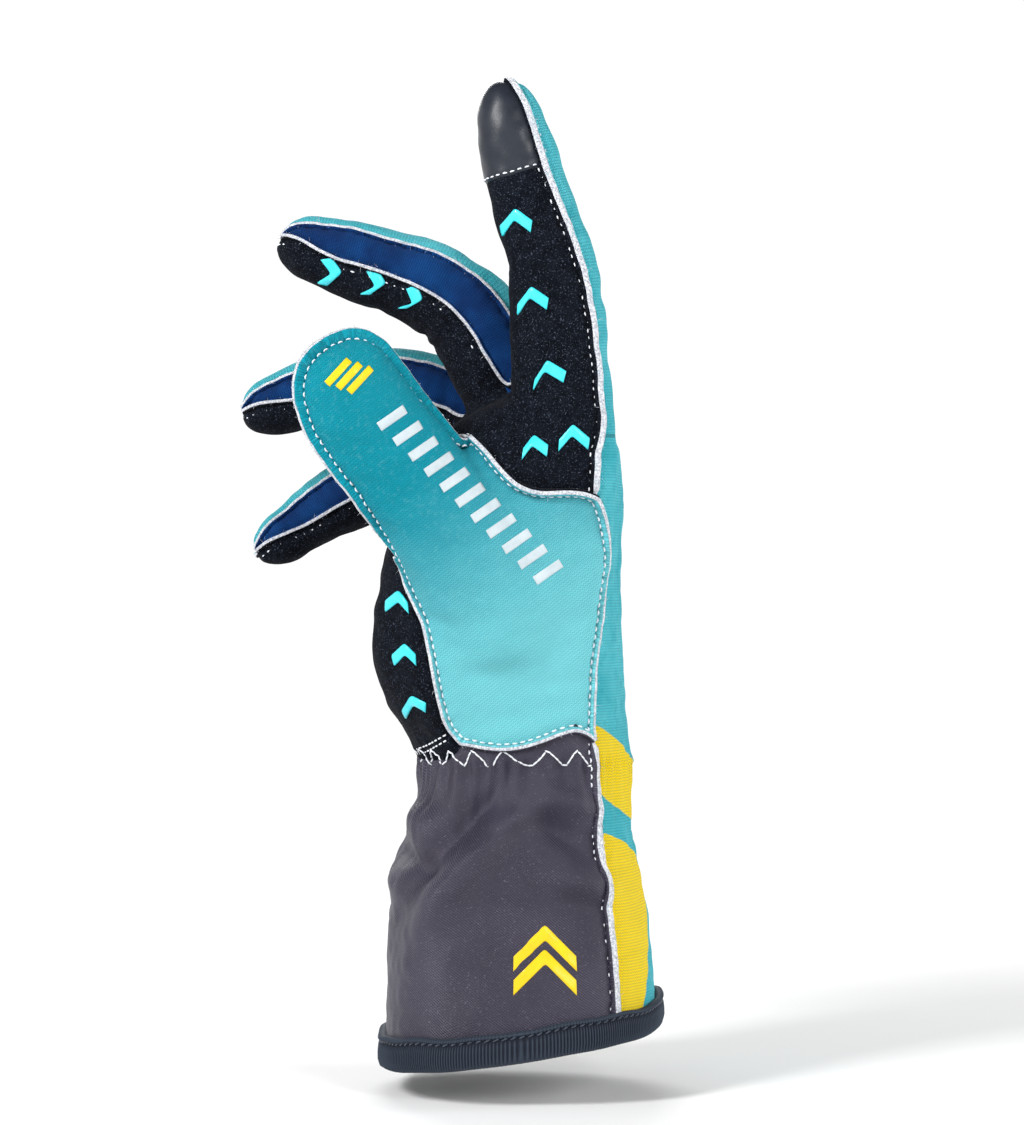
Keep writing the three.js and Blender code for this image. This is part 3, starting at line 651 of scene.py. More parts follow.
def skinRelief(points, normals, places, angle, seamTree, seamAlong):
    s = reliefSettings
    push = np.zeros(len(points))
    nearest = np.full(len(points), 50.0)
    along = np.zeros(len(points))
    for number, point in enumerate(points):
        _, item, gap = seamTree.find(point)
        nearest[number] = gap
        along[number] = seamAlong[item]
    push -= s["groove"] * np.exp(-(nearest / s["grooveWidth"]) ** 2)
    push += s["puff"] * np.exp(-((nearest - s["puffReach"] * 0.55) / (s["puffReach"] * 0.45)) ** 2)
    fade = np.exp(-(nearest / 3.4) ** 2)
    drift = 0.6 * np.sin(along / 9.1) + 0.5 * np.sin(along / 23)
    push += s["pucker"] * fade * np.sin(2 * np.pi * along / s["puckerPitch"] + drift)
    z = points[:, 2]
    turn = np.radians(angle)
    below = np.exp(-np.maximum(wristZ - z, 0) / 9.0) * smoothStep(wristZ + 4, wristZ - 0.5, z)
    above = np.exp(-np.maximum(z - wristZ, 0) / 4.0) * (z > wristZ)
    wobble = 1.7 * np.sin(turn * 3 + 1) + 1.1 * np.sin(turn * 7) + 0.04 * (z - wristZ) * np.sin(turn * 11)
    gather = np.sin(turn * s["gatherCount"] + wobble * 2)
    push += s["gather"] * gather * (below + 0.5 * above)
    size = 36.0
    for fold in gauntletFolds:
        u = wrapped(angle - fold["angle"]) * np.pi / 180 * size
        v = z - fold["z"]
        length = math.hypot(1, fold["lean"])
        across = (u * fold["lean"] + v) / length
        run = (u - v * fold["lean"]) / length
        push += s["foldShare"] * fold["depth"] * np.exp(-(across / fold["width"]) ** 2 - (run / fold["length"]) ** 2)
    for name, at, depth, width in fingerCreases:
        place = places[name]
        near = np.exp(-(np.maximum(place["radius"] - 1.0, 0) * place["size"] / 2.5) ** 2)
        palmSide = 0.35 + 0.65 * smoothStep(60, 130, np.abs(place["angle"]))
        wander = at + 1.2 * np.sin(np.radians(place["angle"]) * 2 + at)
        push -= depth * near * palmSide * np.exp(-((place["s"] - wander) / width) ** 2)
    hand = smoothStep(wristZ + 4, wristZ + 14, z)
    push += s["crease"] * waveNoise(points, s["creaseSize"], 5) * (0.55 + 0.45 * hand)
    push += 0.12 * waveNoise(points, 6.0, 9)
    return points + normals * push[:, None], nearest


panels = {
    "back": {"node": "back_panel", "thickness": 1.2},
    "palm": {"node": "palm_panel", "thickness": 1.2},
    "thumb": {"node": "thumb_panel", "thickness": 1.2},
    "thumbFront": {"node": "thumb_front", "thickness": 1.2},
    "gauntlet": {"node": "gauntlet_panel", "thickness": 1.1},
    "indexSide": {"node": "fourchette_index_middle", "thickness": 1.0},
    "middleSide": {"node": "fourchette_middle_ring", "thickness": 1.0},
    "ringSide": {"node": "fourchette_ring_little", "thickness": 1.0},
}


def skinArrays(bm, labels):
    bm.verts.index_update()
    points = np.array([v.co for v in bm.verts])
    corners = [tuple(v.index for v in face.verts) for face in bm.faces]
    triangles, owners = [], []
    for face, label in zip(corners, labels):
        for k in range(1, len(face) - 1):
            triangles.append((face[0], face[k], face[k + 1]))
            owners.append(label)
    return points, corners, np.array(triangles), owners


def settleLine(line, tree, points, normals, kd):
    # the line laid on the finished skin, with its normals and its running direction
    closed = np.linalg.norm(line[0] - line[-1]) < 1e-6
    laid, lift = [], []
    for point in line:
        spot, _, _, _ = tree.find_nearest(Vector(point))
        laid.append(np.array(spot))
        near = [item for _, item, _ in kd.find_n(spot, 7)]
        lift.append(normals[near].mean(0))
    laid, lift = softened(np.array(laid), 4), unit(softened(np.array(lift), 8))
    ahead = unit(np.gradient(laid, axis=0))
    if closed:
        ahead[0] = ahead[-1] = unit((laid[1] - laid[-2])[None])[0]
        lift[0] = lift[-1] = unit((lift[1] + lift[-2])[None])[0]
        laid[0] = laid[-1] = (laid[1] + laid[-2]) / 2
    side = unit(np.cross(lift, ahead))
    return {"points": laid, "lift": lift, "ahead": ahead, "side": side, "closed": closed}


def panelsBeside(line, tree, owners):
    # the panel to the side direction of the line and the one on the other side
    votes = [{}, {}]
    for k in range(2, len(line["points"]) - 2, 3):
        for way in (0, 1):
            probe = line["points"][k] + line["side"][k] * (2.0 if way == 0 else -2.0)
            _, _, face, _ = tree.find_nearest(Vector(probe))
            votes[way][owners[face]] = votes[way].get(owners[face], 0) + 1
    return [max(vote, key=vote.get) for vote in votes]


def sweep(line, profile, taper=0.0, scale=None, closedEnds=True):
    # carries a closed profile of (side, up) points along a line
    count = len(profile)
    rows = len(line["points"])
    profile = np.array(profile, dtype=float)
    shares = np.ones(rows) if scale is None else np.asarray(scale, dtype=float)
    if taper:
        gap = np.linalg.norm(np.diff(line["points"], axis=0), axis=1)
        along = np.concatenate([[0], np.cumsum(gap)])
        ends = np.minimum(along, along[-1] - along)
        shares = shares * (0.25 + 0.75 * smoothStep(0, taper, ends))
    shares = shares[:, None, None]
    points = (line["points"][:, None, :] + line["side"][:, None, :] * profile[None, :, :1] * shares ** 0.5
              + line["lift"][:, None, :] * profile[None, :, 1:] * shares).reshape(-1, 3)
    faces = ringFaces(rows, count)
    if closedEnds:
        faces.append(tuple(reversed(range(count))))
        faces.append(tuple(range((rows - 1) * count, rows * count)))
    return points, faces


def joined(parts):
    points, faces, start = [], [], 0
    for somePoints, someFaces in parts:
        points.append(np.asarray(somePoints))
        faces.extend(tuple(k + start for k in face) for face in someFaces)
        start += len(somePoints)
    return np.concatenate(points), faces


def outwardFaces(piece):
    bm = bmesh.new()
    bm.from_mesh(piece.data)
    bmesh.ops.recalc_face_normals(bm, faces=bm.faces)
    bm.to_mesh(piece.data)
    bm.free()


# ply thickness, width of the raw core and height of each kind of raised seam in mm
seamKinds = {
    "thumb": {"ply": 0.5, "core": 1.0, "height": 2.5, "foot": -0.7},
    "index": {"ply": 0.4, "core": 1.7, "height": 1.5, "foot": -0.7},
    "hand": {"ply": 0.4, "core": 0.9, "height": 1.5, "foot": -0.6},
    "fourchette": {"ply": 0.35, "core": 0.75, "height": 1.3, "foot": -0.5},
}
seamChoice = {
    ("back", "palm"): "index", ("back", "gauntlet"): "index", ("back", "thumb"): "thumb",
    ("palm", "thumb"): "thumb", ("thumb", "thumbFront"): "thumb", ("gauntlet", "thumb"): "thumb",
    ("palm", "thumbFront"): "fourchette",
}


def plyProfile(kind, way):
    inner, outer = kind["core"] / 2, kind["core"] / 2 + kind["ply"]
    top, foot = kind["height"], kind["foot"]
    shape = [(inner - 0.02, foot), (outer, foot), (outer + 0.05, top * 0.35), (outer, top * 0.8),
             (outer - 0.12, top), (inner - 0.02, top - 0.08)]
    return [(s * way, u) for s, u in shape]


def coreProfile(kind):
    half, top, foot = kind["core"] / 2, kind["height"], kind["foot"]
    return [(half, foot), (half, top * 0.6), (half + 0.04, top + 0.02), (half * 0.6, top + 0.2),
            (0, top + 0.12), (-half * 0.6, top + 0.2), (-half - 0.04, top + 0.02), (-half, top * 0.6),
            (-half, foot)]


# along the grain, its roundness and how far it dips, as shares and mm
grainRows = [(-0.5, 0.35, -0.28), (-0.36, 0.85, -0.08), (0, 1.0, 0.05), (0.36, 0.85, -0.08), (0.5, 0.35, -0.28)]


def stitchGrains(line, offset, up, pitch=2.2, length=1.45, radius=0.27, begin=0.8, tilt=0.0):
    # one small rounded grain of thread for each stitch
    gap = np.linalg.norm(np.diff(line["points"], axis=0), axis=1)
    along = np.concatenate([[0], np.cumsum(gap)])
    parts = []
    ring = np.arange(6) * np.pi / 3
    for place in np.arange(begin, along[-1] - begin, pitch):
        at = [np.array([np.interp(place, along, line[key][:, k]) for k in range(3)])
              for key in ("points", "ahead", "side", "lift")]
        spot, ahead, side, lift = at
        spot = spot + side * offset + lift * up
        ahead = ahead * math.cos(tilt) + side * math.sin(tilt)
        side = np.cross(lift, ahead)
        rows = []
        for t, r, sink in grainRows:
            centre = spot + ahead * t * length + lift * sink
            rows.append(centre + side * (np.cos(ring) * r * radius)[:, None]
                        + lift * (np.sin(ring) * r * radius)[:, None])
        faces = ringFaces(5, 6) + [tuple(reversed(range(6))), tuple(range(24, 30))]
        parts.append((np.concatenate(rows), faces))
    return parts


def panelObject(name, settings, extra):
    # one panel with an outer and an inner face, its rim and the plies of its raised seams
    mine = [face for face, label in zip(skinCorners, skinLabels) if label == name]
    used = sorted({k for face in mine for k in face})
    index = {k: n for n, k in enumerate(used)}
    outer = skinPoints[used]
    inner = outer - skinNormals[used] * settings["thickness"]
    count = len(used)
    faces = [tuple(index[k] for k in face) for face in mine]
    edges = {}
    for face in faces:
        for k in range(len(face)):
            edges[(face[k], face[(k + 1) % len(face)])] = True
    rim = [(b, a, a + count, b + count) for a, b in edges if (b, a) not in edges]
    faces = faces + [tuple(k + count for k in reversed(face)) for face in faces] + rim
    shift = lambda rows: np.concatenate([rows, rows])
    weave = shift(skinWeave[used])
    fieldRows = shift(skinFields[used])
    points, allFaces = joined([(np.concatenate([outer, inner]), faces)] + extra)
    piece = meshObject(name + "_cloth", points, allFaces)
    if len(points) > len(weave):
        tree = KDTree(count)
        for k, point in enumerate(outer):
            tree.insert(point, k)
        tree.balance()
        near = np.array([tree.find(point)[1] for point in points[2 * count:]], dtype=np.int64)
        weave = np.concatenate([weave, weave[near]])
        fieldRows = np.concatenate([fieldRows, fieldRows[near]])
    for title, column in (("weave", weave), ("marks", fieldRows)):
        layer = piece.data.attributes.new(title, "FLOAT_VECTOR", "POINT")
        layer.data.foreach_set("vector", np.ascontiguousarray(column, dtype=np.float32).ravel())
    return piece


print("glove form")
skinForm = gloveForm()
skinMesh, skinLabels = cutSkin(skinForm)
bpy.data.objects.remove(skinForm)
skinLabels = tidyLabels(skinMesh, skinLabels)
skinPoints, skinCorners, skinTriangles, skinOwners = skinArrays(skinMesh, skinLabels)
seamLines = borderLines(skinMesh, skinLabels)

print("folds and gathers")
skinNormals = vertexNormals(skinPoints, skinTriangles)
_, places, skinAngle = seamFields(skinPoints)
seamTree = KDTree(sum(len(line) for found in seamLines.values() for line in found))
seamAlong = []
for found in seamLines.values():
    for line in found:
        for number, point in enumerate(line):
            seamTree.insert(point, len(seamAlong))
            seamAlong.append(number * 0.8)
seamTree.balance()
skinPoints, seamDistance = skinRelief(skinPoints, skinNormals, places, skinAngle, seamTree, seamAlong)
skinNormals = vertexNormals(skinPoints, skinTriangles)
skinTree = BVHTree.FromPolygons([Vector(p) for p in skinPoints], skinTriangles.tolist())
skinKd = KDTree(len(skinPoints))
for number, point in enumerate(skinPoints):
    skinKd.insert(point, number)
skinKd.balance()


def weaveCoordinates(points):
    # distances along the rows and columns of the knit in mm
    u = (skinAngle % 360) * np.pi / 180 * 37
    u = np.where(skinAngle > -100, skinAngle * np.pi / 180 * 37, u)
    gauntletSide = np.array([False] * len(points))
    for face, label in zip(skinCorners, skinLabels):
        if label == "gauntlet":
            gauntletSide[list(face)] = True
    u = np.where(gauntletSide, (skinAngle % 360) * np.pi / 180 * 37, u)
    v = points[:, 2].copy()
    for name in ("index", "middle", "ring", "little"):
        place = places[name]
        near = (place["radius"] < 1.25) & (place["s"] > 40)
        u = np.where(near, place["angle"] * np.pi / 180 * place["size"], u)
        v = np.where(near, place["s"], v)
    thumbSide = np.array([False] * len(points))
    for face, label in zip(skinCorners, skinLabels):
        if label == "thumb":
            thumbSide[list(face)] = True
    lean = math.radians(38)
    u = np.where(thumbSide, points[:, 0] * math.cos(lean) + points[:, 2] * math.sin(lean), u)
    v = np.where(thumbSide, points[:, 2] * math.cos(lean) - points[:, 0] * math.sin(lean), v)
    return np.stack([u, v, np.zeros(len(points))], 1)


def markFields(points):
    # x: inside the yellow waves of the cuff back, y: distance along the thumb, z: distance to a seam
    # each wave starts at the seam on the thumb side and sweeps round the back
    around = np.where(skinAngle > 100, 50, skinAngle + 50) * np.pi / 180 * 37
    z = points[:, 2]
    upper = 9.5 - 3.2 * smoothStep(8, 60, around) - np.abs(z - (76 - 0.2 * around - 4 * np.sin(around / 17)))
    edge = np.interp(z, [-4, 8, 22, 34, 42, 48, 53, 57], [8, 9.5, 17, 26, 30, 25, 14, 0])
    lower = np.where(z < 57, (edge - around) * 0.8, -2.0)
    far = np.interp(z, [-4, 10, 22, 36, 46, 58, 62], [88, 82, 74, 66, 70, 90, 120])
    wave = np.maximum(np.maximum(upper, lower), (around - far) * 0.8)
    return np.stack([wave, places["thumb"]["s"], seamDistance], 1)


skinWeave = weaveCoordinates(skinPoints)
skinFields = markFields(skinPoints)

print("raised seams")
plies = {name: [] for name in panels}
seamNames = ("seam_back", "seam_index", "seam_thumb_upper", "seam_thumb_lower", "hand", "fourchettes")
cores = {name: [] for name in seamNames}
stitchParts = []
for key, found in seamLines.items():
    if key == ("gauntlet", "palm"):
        continue
    for raw in found:
        line = settleLine(raw, skinTree, skinPoints, skinNormals, skinKd)
        beside = panelsBeside(line, skinTree, skinOwners)
        onFourchette = "Side" in key[0] + key[1]
        kindName = "fourchette" if onFourchette else seamChoice.get(key, "hand")
        start, end = line["points"][0], line["points"][-1]
        littleSide = min(start[1], end[1]) > 10
        if kindName == "index" and (littleSide or len(raw) < 60):
            kindName = "hand"
        kind = seamKinds[kindName]
        wobble = 1 + 0.05 * np.sin(np.arange(len(raw)) * 0.9) + 0.04 * np.sin(np.arange(len(raw)) * 0.37 + 1)
        taper = 0 if line["closed"] else 3.0
        if kindName == "thumb":
            # the allowance is widest round the thumb and the stretches meet without a step
            height = line["points"][:, 2]
            wobble = 0.6 + 0.4 * smoothStep(122, 150, height) + 0.25 * smoothStep(155, 180, height)
            taper = 0
            if key[1] == "thumbFront":
                number = np.arange(len(raw)) * 0.8
                wobble = wobble * (0.6 + 0.4 * smoothStep(0, 8, np.minimum(number, number[-1] - number)))
        core = sweep(line, coreProfile(kind), taper, wobble, not line["closed"])
        if onFourchette:
            cores["fourchettes"].append(core)
        elif key == ("back", "gauntlet") and not littleSide:
            cores["seam_back"].append(core)
        elif key == ("back", "palm") and not littleSide and len(raw) > 60:
            cores["seam_index"].append(core)
        elif key == ("palm", "thumb") and raw[:, 2].min() < 120:
            cores["seam_thumb_lower"].append(core)
        elif key[1] == "thumbFront" or key == ("palm", "thumb"):
            cores["seam_thumb_upper"].append(core)
        else:
            cores["hand"].append(core)
        for way, name in ((1, beside[0]), (-1, beside[1])):
            if name in plies:
                ply = sweep(line, plyProfile(kind, way), taper, wobble, not line["closed"])
                plies[name].append(ply)
        edge = kind["core"] / 2 + kind["ply"]
        if onFourchette:
            way = 1 if beside[0] in ("palm", "back") else -1
            if "palm" in key:
                stitchParts += stitchGrains(line, way * (edge + 1.5), 0.1, 2.4, 1.4, 0.24)
        elif kindName == "thumb":
            way = 1 if beside[0] == "thumb" else -1
            stitchParts += stitchGrains(line, way * (edge + 0.12), 0.45)
        else:
            for way in (1, -1):
                stitchParts += stitchGrains(line, way * (edge + 0.3), 0.2, 2.2, 1.3, 0.23)


def edgeFibres(points, faces, perFace=0.099, seed=3):
    # short loose fibres that stick out of the cut edge
    random = np.random.default_rng(seed)
    quads = [face for face in faces if len(face) == 4]
    picks = random.choice(len(quads), int(len(quads) * perFace), replace=False)
    fibrePoints, fibreFaces = [], []
    for number in picks:
        corners = points[list(quads[number])]
        root = corners.mean(0)
        lift = np.cross(corners[1] - corners[0], corners[3] - corners[0])
        lift = lift / max(np.linalg.norm(lift), 1e-9)
        way = unit((lift + random.normal(0, 0.75, 3))[None])[0]
        bend = random.normal(0, 0.35, 3)
        length = random.uniform(0.5, 1.3)
        aside = unit(np.cross(way, random.normal(0, 1, 3))[None])[0] * 0.055
        other = np.cross(way, aside)
        start = len(fibrePoints)
        for share, thin in ((0.0, 1.0), (0.55, 0.8), (1.0, 0.3)):
            spot = root + way * length * share + bend * length * share * share
            fibrePoints += [spot + aside * thin, spot - aside * 0.5 * thin + other * 0.87 * thin,
                            spot - aside * 0.5 * thin - other * 0.87 * thin]
        fibreFaces += [tuple(start + k for k in face) for face in ringFaces(3, 3)]
        fibreFaces += [(start + 2, start + 1, start), (start + 6, start + 7, start + 8)]
    return np.array(fibrePoints), fibreFaces


print("panels")
pieces = {}
for name, settings in panels.items():
    pieces[name] = panelObject(name, settings, plies[name])

seamPieces = {}
for name, parts in cores.items():
    if parts:
        whole = joined(parts)
        seamPieces[name] = meshObject(name + "_edge", *joined([whole, edgeFibres(*whole)]))

# where the photograph seems to have been taken from: millimetres of a pixel in the glove's middle plane
photoScale = 0.27
photoMiddle = (512, 562.5)
cameraSpot = np.array([-2.4, -1000, 127.6])


def pixelRay(px, py):
    # the point of the skin that shows at a place of the photograph
    aim = np.array([cameraSpot[0] + (px - photoMiddle[0]) * photoScale, 0,
                    cameraSpot[2] + (photoMiddle[1] - py) * photoScale]) - cameraSpot
    spot, _, _, _ = skinTree.ray_cast(Vector(cameraSpot), Vector(aim).normalized())
    if spot is None:
        spot = skinTree.find_nearest(Vector(cameraSpot + aim))[0]
    return np.array(spot)


def pixelLine(corners, step=0.5):
    corners = np.array(corners, dtype=float)
    gap = np.linalg.norm(np.diff(corners, axis=0), axis=1)
    along = np.concatenate([[0], np.cumsum(gap)])
    count = max(4, int(along[-1] * photoScale / step))
    rows = [(np.interp(t, along, corners[:, 0]), np.interp(t, along, corners[:, 1]))
            for t in np.linspace(0, along[-1], count)]
    points = np.array([pixelRay(*row) for row in rows])
    return settleLine(points, skinTree, skinPoints, skinNormals, skinKd)


def printProfile(width, height):
    half = width / 2
    return [(-half, -0.15), (half, -0.15), (half, height * 0.45), (half * 0.78, height * 0.9),
            (half * 0.3, height), (-half * 0.3, height), (-half * 0.78, height * 0.9), (-half, height * 0.45)]


def stroke(corners, width, height):
    # a printed bar on the skin; it ends where it would jump across to another finger
    line = pixelLine(corners)
    gap = np.linalg.norm(np.diff(line["points"], axis=0), axis=1)
    breaks = np.flatnonzero(gap > 2.5)
    if len(breaks):
        keep = slice(0, breaks[0] + 1) if breaks[0] > len(gap) / 2 else slice(breaks[-1] + 1, None)
        line = {key: value[keep] if key != "closed" else value for key, value in line.items()}
    return sweep(line, printProfile(width, height))


def chevron(px, py, size, turn, width, height):
    # two arms that meet in a mitred point, placed by a pixel of the photograph
    c, s = math.cos(math.radians(turn)), math.sin(math.radians(turn))
    arms = [(-size / 2, size * 0.22), (0, -size * 0.28), (size / 2, size * 0.22)]
    corners = [(px + (x * c - y * s) / photoScale, py + (x * s + y * c) / photoScale) for x, y in arms]
    line = pixelLine(corners, 0.4)
    axis = np.array([-s, 0.0, c])
    across = axis - line["lift"] * (line["lift"] @ axis)[:, None]
    line["side"] = unit(across)
    gap = np.linalg.norm(np.diff(line["points"], axis=0), axis=1)
    if gap.max() > 2.5:
        return []
    return [sweep(line, printProfile(width, height))]


print("printed grips and marks")
# place in the photograph, size in mm, turn in degrees
gripPlaces = [
    (516, 222, 8.0, -8), (532, 300, 8.0, -10), (548, 374, 8.4, -14), (534, 447, 6.8, -8),
    (573, 438, 8.0, -4), (330, 272, 6.6, 98), (374, 283, 6.6, 104), (412, 299, 6.0, 112),
    (398, 602, 6.0, 6), (405, 655, 6.0, 0), (414, 706, 6.0, -16),
]
gripParts = []
for px, py, size, turn in gripPlaces:
    gripParts += chevron(px, py, size, turn, 3.1, 0.55)
grips = meshObject("grip_prints", *joined(gripParts))

markParts = []
for shift in (-1, 0, 1):
    px, py = 350 + 11 * shift, 376 + 4 * shift
    markParts.append(stroke([(px - 12, py + 12), (px + 10, py - 12)], 1.9, 0.22))
for shift in (0, 1):
    markParts += chevron(545, 950 + 24 * shift, 17, 0, 4.0, 0.2)
marks = meshObject("yellow_prints", *joined(markParts))

dashParts = []
dashStart, dashEnd = np.array([392, 418.0]), np.array([548, 572.0])
for share in np.arange(0, 1.01, 0.1):
    spot = dashStart + (dashEnd - dashStart) * share
    dashParts.append(stroke([spot + (-13, 9), spot + (13, -9)], 2.5, 0.16))
dashes = meshObject("thumb_stripe", *joined(dashParts))

print("stitches")


def wristZigzag():
    parts = []
    angles = np.arange(112, 308, 0.45)
    rows = []
    for angle in angles:
        phase = (angle * 37 * math.pi / 180 / 10.0) % 1
        rise = (abs(phase - 0.5) * 4 - 1) * 2.2
        rows.append(bodyPoint(np.array([angle]), np.array([wristZ + 2.2 + rise]))[0])
    line = settleLine(np.array(rows), skinTree, skinPoints, skinNormals, skinKd)
    parts += stitchGrains(line, 0, 0.2, 1.55, 1.75, 0.24)
    return parts


stitchParts += wristZigzag()
for offset in (0, 6):
    hem = pixelLine([(412, 757 - offset), (428, 751 - offset), (447, 740 - offset)])
    stitchParts += stitchGrains(hem, 0, 0.12, 2.0, 1.4, 0.24)
stitches = meshObject("stitches", *joined(stitchParts))

print("fingertip patch")
patchSettings = {"start": 110.5, "from": 58, "to": 302, "rise": 0.45}


def fingertipPatch():
    # a shell over the tip on the palm side, laid on the skin
    tube = tubes["index"]
    numbers = [k for k, s in enumerate(tube["s"]) if s > patchSettings["start"]]
    count = 56
    turns = np.linspace(patchSettings["from"], patchSettings["to"], count)
    rows, lifts = [], []
    for number in numbers:
        for turn in turns:
            at = tubePoint(tube, number, turn, 0.6)
            spot, _, _, _ = skinTree.find_nearest(Vector(at))
            near = [item for _, item, _ in skinKd.find_n(spot, 5)]
            rows.append(np.array(spot))
            lifts.append(skinNormals[near].mean(0))
    rows, lifts = np.array(rows), unit(np.array(lifts))
    faces = ringFaces(len(numbers), count, 0, False)
    total = len(rows)
    edge = np.ones(total)
    grid = edge.reshape(len(numbers), count)
    grid[0] = 0.25
    grid[:, 0] = grid[:, -1] = 0.25
    outer = rows + lifts * (patchSettings["rise"] * edge)[:, None]
    inner = rows - lifts * 0.3
    border = {}
    for face in faces:
        for k in range(4):
            border[(face[k], face[(k + 1) % 4])] = True
    rim = [(b, a, a + total, b + total) for a, b in border if (b, a) not in border]
    allFaces = faces + [tuple(k + total for k in reversed(face)) for face in faces] + rim
    return meshObject("fingertip_patch_leather", np.concatenate([outer, inner]), allFaces)


tipPatch = fingertipPatch()


def patchStitches():
    tube = tubes["index"]
    first = next(k for k, s in enumerate(tube["s"]) if s > patchSettings["start"])
    rows = [tubePoint(tube, first, turn, 0.6) for turn in np.arange(64, 297, 2.0)]
    line = settleLine(np.array(rows), skinTree, skinPoints, skinNormals, skinKd)
    parts = stitchGrains(line, 0.9, 0.5, 2.0, 1.35, 0.22)
    for turn in (patchSettings["from"] + 6, patchSettings["to"] - 6):
        rows = [tubePoint(tube, number, turn, 0.6) for number in range(first, len(tube["s"]) - 4)]
        line = settleLine(evenLine(np.array(rows), 0.8), skinTree, skinPoints, skinNormals, skinKd)
        parts += stitchGrains(line, 0, 0.5, 2.0, 1.35, 0.22)
    return parts


patchThread = meshObject("patch_stitches", *joined(patchStitches()))

print("cuff binding")
bindingSettings = {"low": -1.9, "high": 6.4, "outer": 2.0, "extraTilt": 0.016, "ribs": 300, "perRib": 4}


def tilted(points):
    points[:, 2] += bindingSettings["extraTilt"] * points[:, 0]
    return points


def cuffBinding():
    # ribbed knit tape folded over the edge, with a rolled lip along its top
    s = bindingSettings
    columns = s["ribs"] * s["perRib"]
    angles = np.arange(columns) * 360 / columns
    outerRows = [(-0.0, 0.2), (0.10, 0.75), (0.3, 1.0), (0.5, 1.04), (0.68, 1.0), (0.8, 0.84), (0.86, 0.72),
                 (0.9, 0.9), (0.95, 1.08), (1.0, 1.0), (1.03, 0.7), (1.04, 0.3)]
    rings = []
    turn = np.radians(angles)
    rib = np.cos(turn * s["ribs"])
    drift = 0.35 * np.sin(turn * 5 + 1) + 0.2 * np.sin(turn * 13)
    swell = 1 + 0.05 * np.sin(turn * 9) + 0.04 * np.sin(turn * 17 + 2)
    for up, out in outerRows:
        z = s["low"] + (s["high"] - s["low"]) * up + drift * (0.3 + 0.7 * up)
        ribbed = 0.17 * rib * (0.25 if 0.84 < up < 0.92 else 1.0)
        rings.append(tilted(bodyPoint(angles, z, (out * s["outer"] + ribbed) * swell)))
    innerRows = [(0.9, -1.35), (0.5, -2.9), (0.2, -2.8), (0.03, -1.4)]
    for up, out in innerRows:
        z = s["low"] + (s["high"] - s["low"]) * up
        rings.append(tilted(bodyPoint(angles, np.full(columns, z), out)))
    points = np.concatenate(rings)
    faces = ringFaces(len(rings), columns)
    last = (len(rings) - 1) * columns
    faces += [(last + k, last + (k + 1) % columns, (k + 1) % columns, k) for k in range(columns)]
    return meshObject("binding_tape", points, faces)


binding = cuffBinding()


def bindingStitches():
    parts = []
    angles = np.arange(0, 361, 1.5)
    drift = 0.35 * np.sin(np.radians(angles) * 5 + 1) + 0.2 * np.sin(np.radians(angles) * 13)
    s = bindingSettings
    z = s["low"] + (s["high"] - s["low"]) * 0.87 + drift * 0.9
    rows = tilted(bodyPoint(angles, z, s["outer"] * 0.86))
    lift = unit(np.stack([np.cos(np.radians(angles)), np.sin(np.radians(angles)), np.zeros(len(angles))], 1))
    ahead = unit(np.gradient(rows, axis=0))
    lift = unit(lift - ahead * (lift * ahead).sum(1)[:, None])
    line = {"points": rows, "lift": lift, "ahead": ahead, "side": np.cross(lift, ahead), "closed": False}
    parts += stitchGrains(line, 0, 0.05, 2.3, 1.7, 0.2, 0.8, 0.35)
    return parts


bindingThread = meshObject("binding_stitches", *joined(bindingStitches()))

print("materials")


def colour(code):
    # an sRGB hex colour as a linear one
    parts = [int(code[k:k + 2], 16) / 255 for k in (1, 3, 5)]
    return tuple(p / 12.92 if p <= 0.04045 else ((p + 0.055) / 1.055) ** 2.4 for p in parts) + (1.0,)


def addNode(tree, kind, inputs=None, **settings):
    node = tree.nodes.new("ShaderNode" + kind)
    for key, value in settings.items():
        setattr(node, key, value)
    for key, value in (inputs or {}).items():
        if isinstance(value, bpy.types.NodeSocket):
            tree.links.new(value, node.inputs[key])
        else:
            node.inputs[key].default_value = value
    return node


def maths(tree, operation, a, b=0.0, c=0.0):
    return addNode(tree, "Math", {0: a, 1: b, 2: c}, operation=operation).outputs[0]


def blendColours(tree, share, a, b):
    node = addNode(tree, "Mix", {0: share, 6: a, 7: b}, data_type="RGBA")
    return node.outputs[2]


def ranged(tree, value, low, high, fromValue=0.0, toValue=1.0):
    node = addNode(tree, "MapRange", {0: value, 1: low, 2: high, 3: fromValue, 4: toValue},
                   interpolation_type="SMOOTHSTEP")
    return node.outputs[0]


def startMaterial(name, roughness=0.8, sheen=0.0, coat=0.0, specular=0.4):
    material = bpy.data.materials.new(name)
    material.use_nodes = True
    tree = material.node_tree
    tree.nodes.clear()
    shader = addNode(tree, "BsdfPrincipled", {
        "Roughness": roughness, "Sheen Weight": sheen, "Sheen Roughness": 0.45, "Coat Weight": coat,
        "Specular IOR Level": specular})
    output = addNode(tree, "OutputMaterial")
    tree.links.new(shader.outputs[0], output.inputs[0])
    return material, tree, shader


def noiseAt(tree, size, detail=3.0, roughness=0.55):
    # noise whose features are about size mm across
    place = addNode(tree, "TexCoord").outputs["Object"]
    return addNode(tree, "TexNoise", {"Vector": place, "Scale": 1.0 / (size * mm), "Detail": detail,
                                      "Roughness": roughness}).outputs[0]


def weaveSplit(tree):
    weave = addNode(tree, "Attribute", attribute_name="weave").outputs["Vector"]
    parts = addNode(tree, "SeparateXYZ", {0: weave})
    return parts.outputs[0], parts.outputs[1]


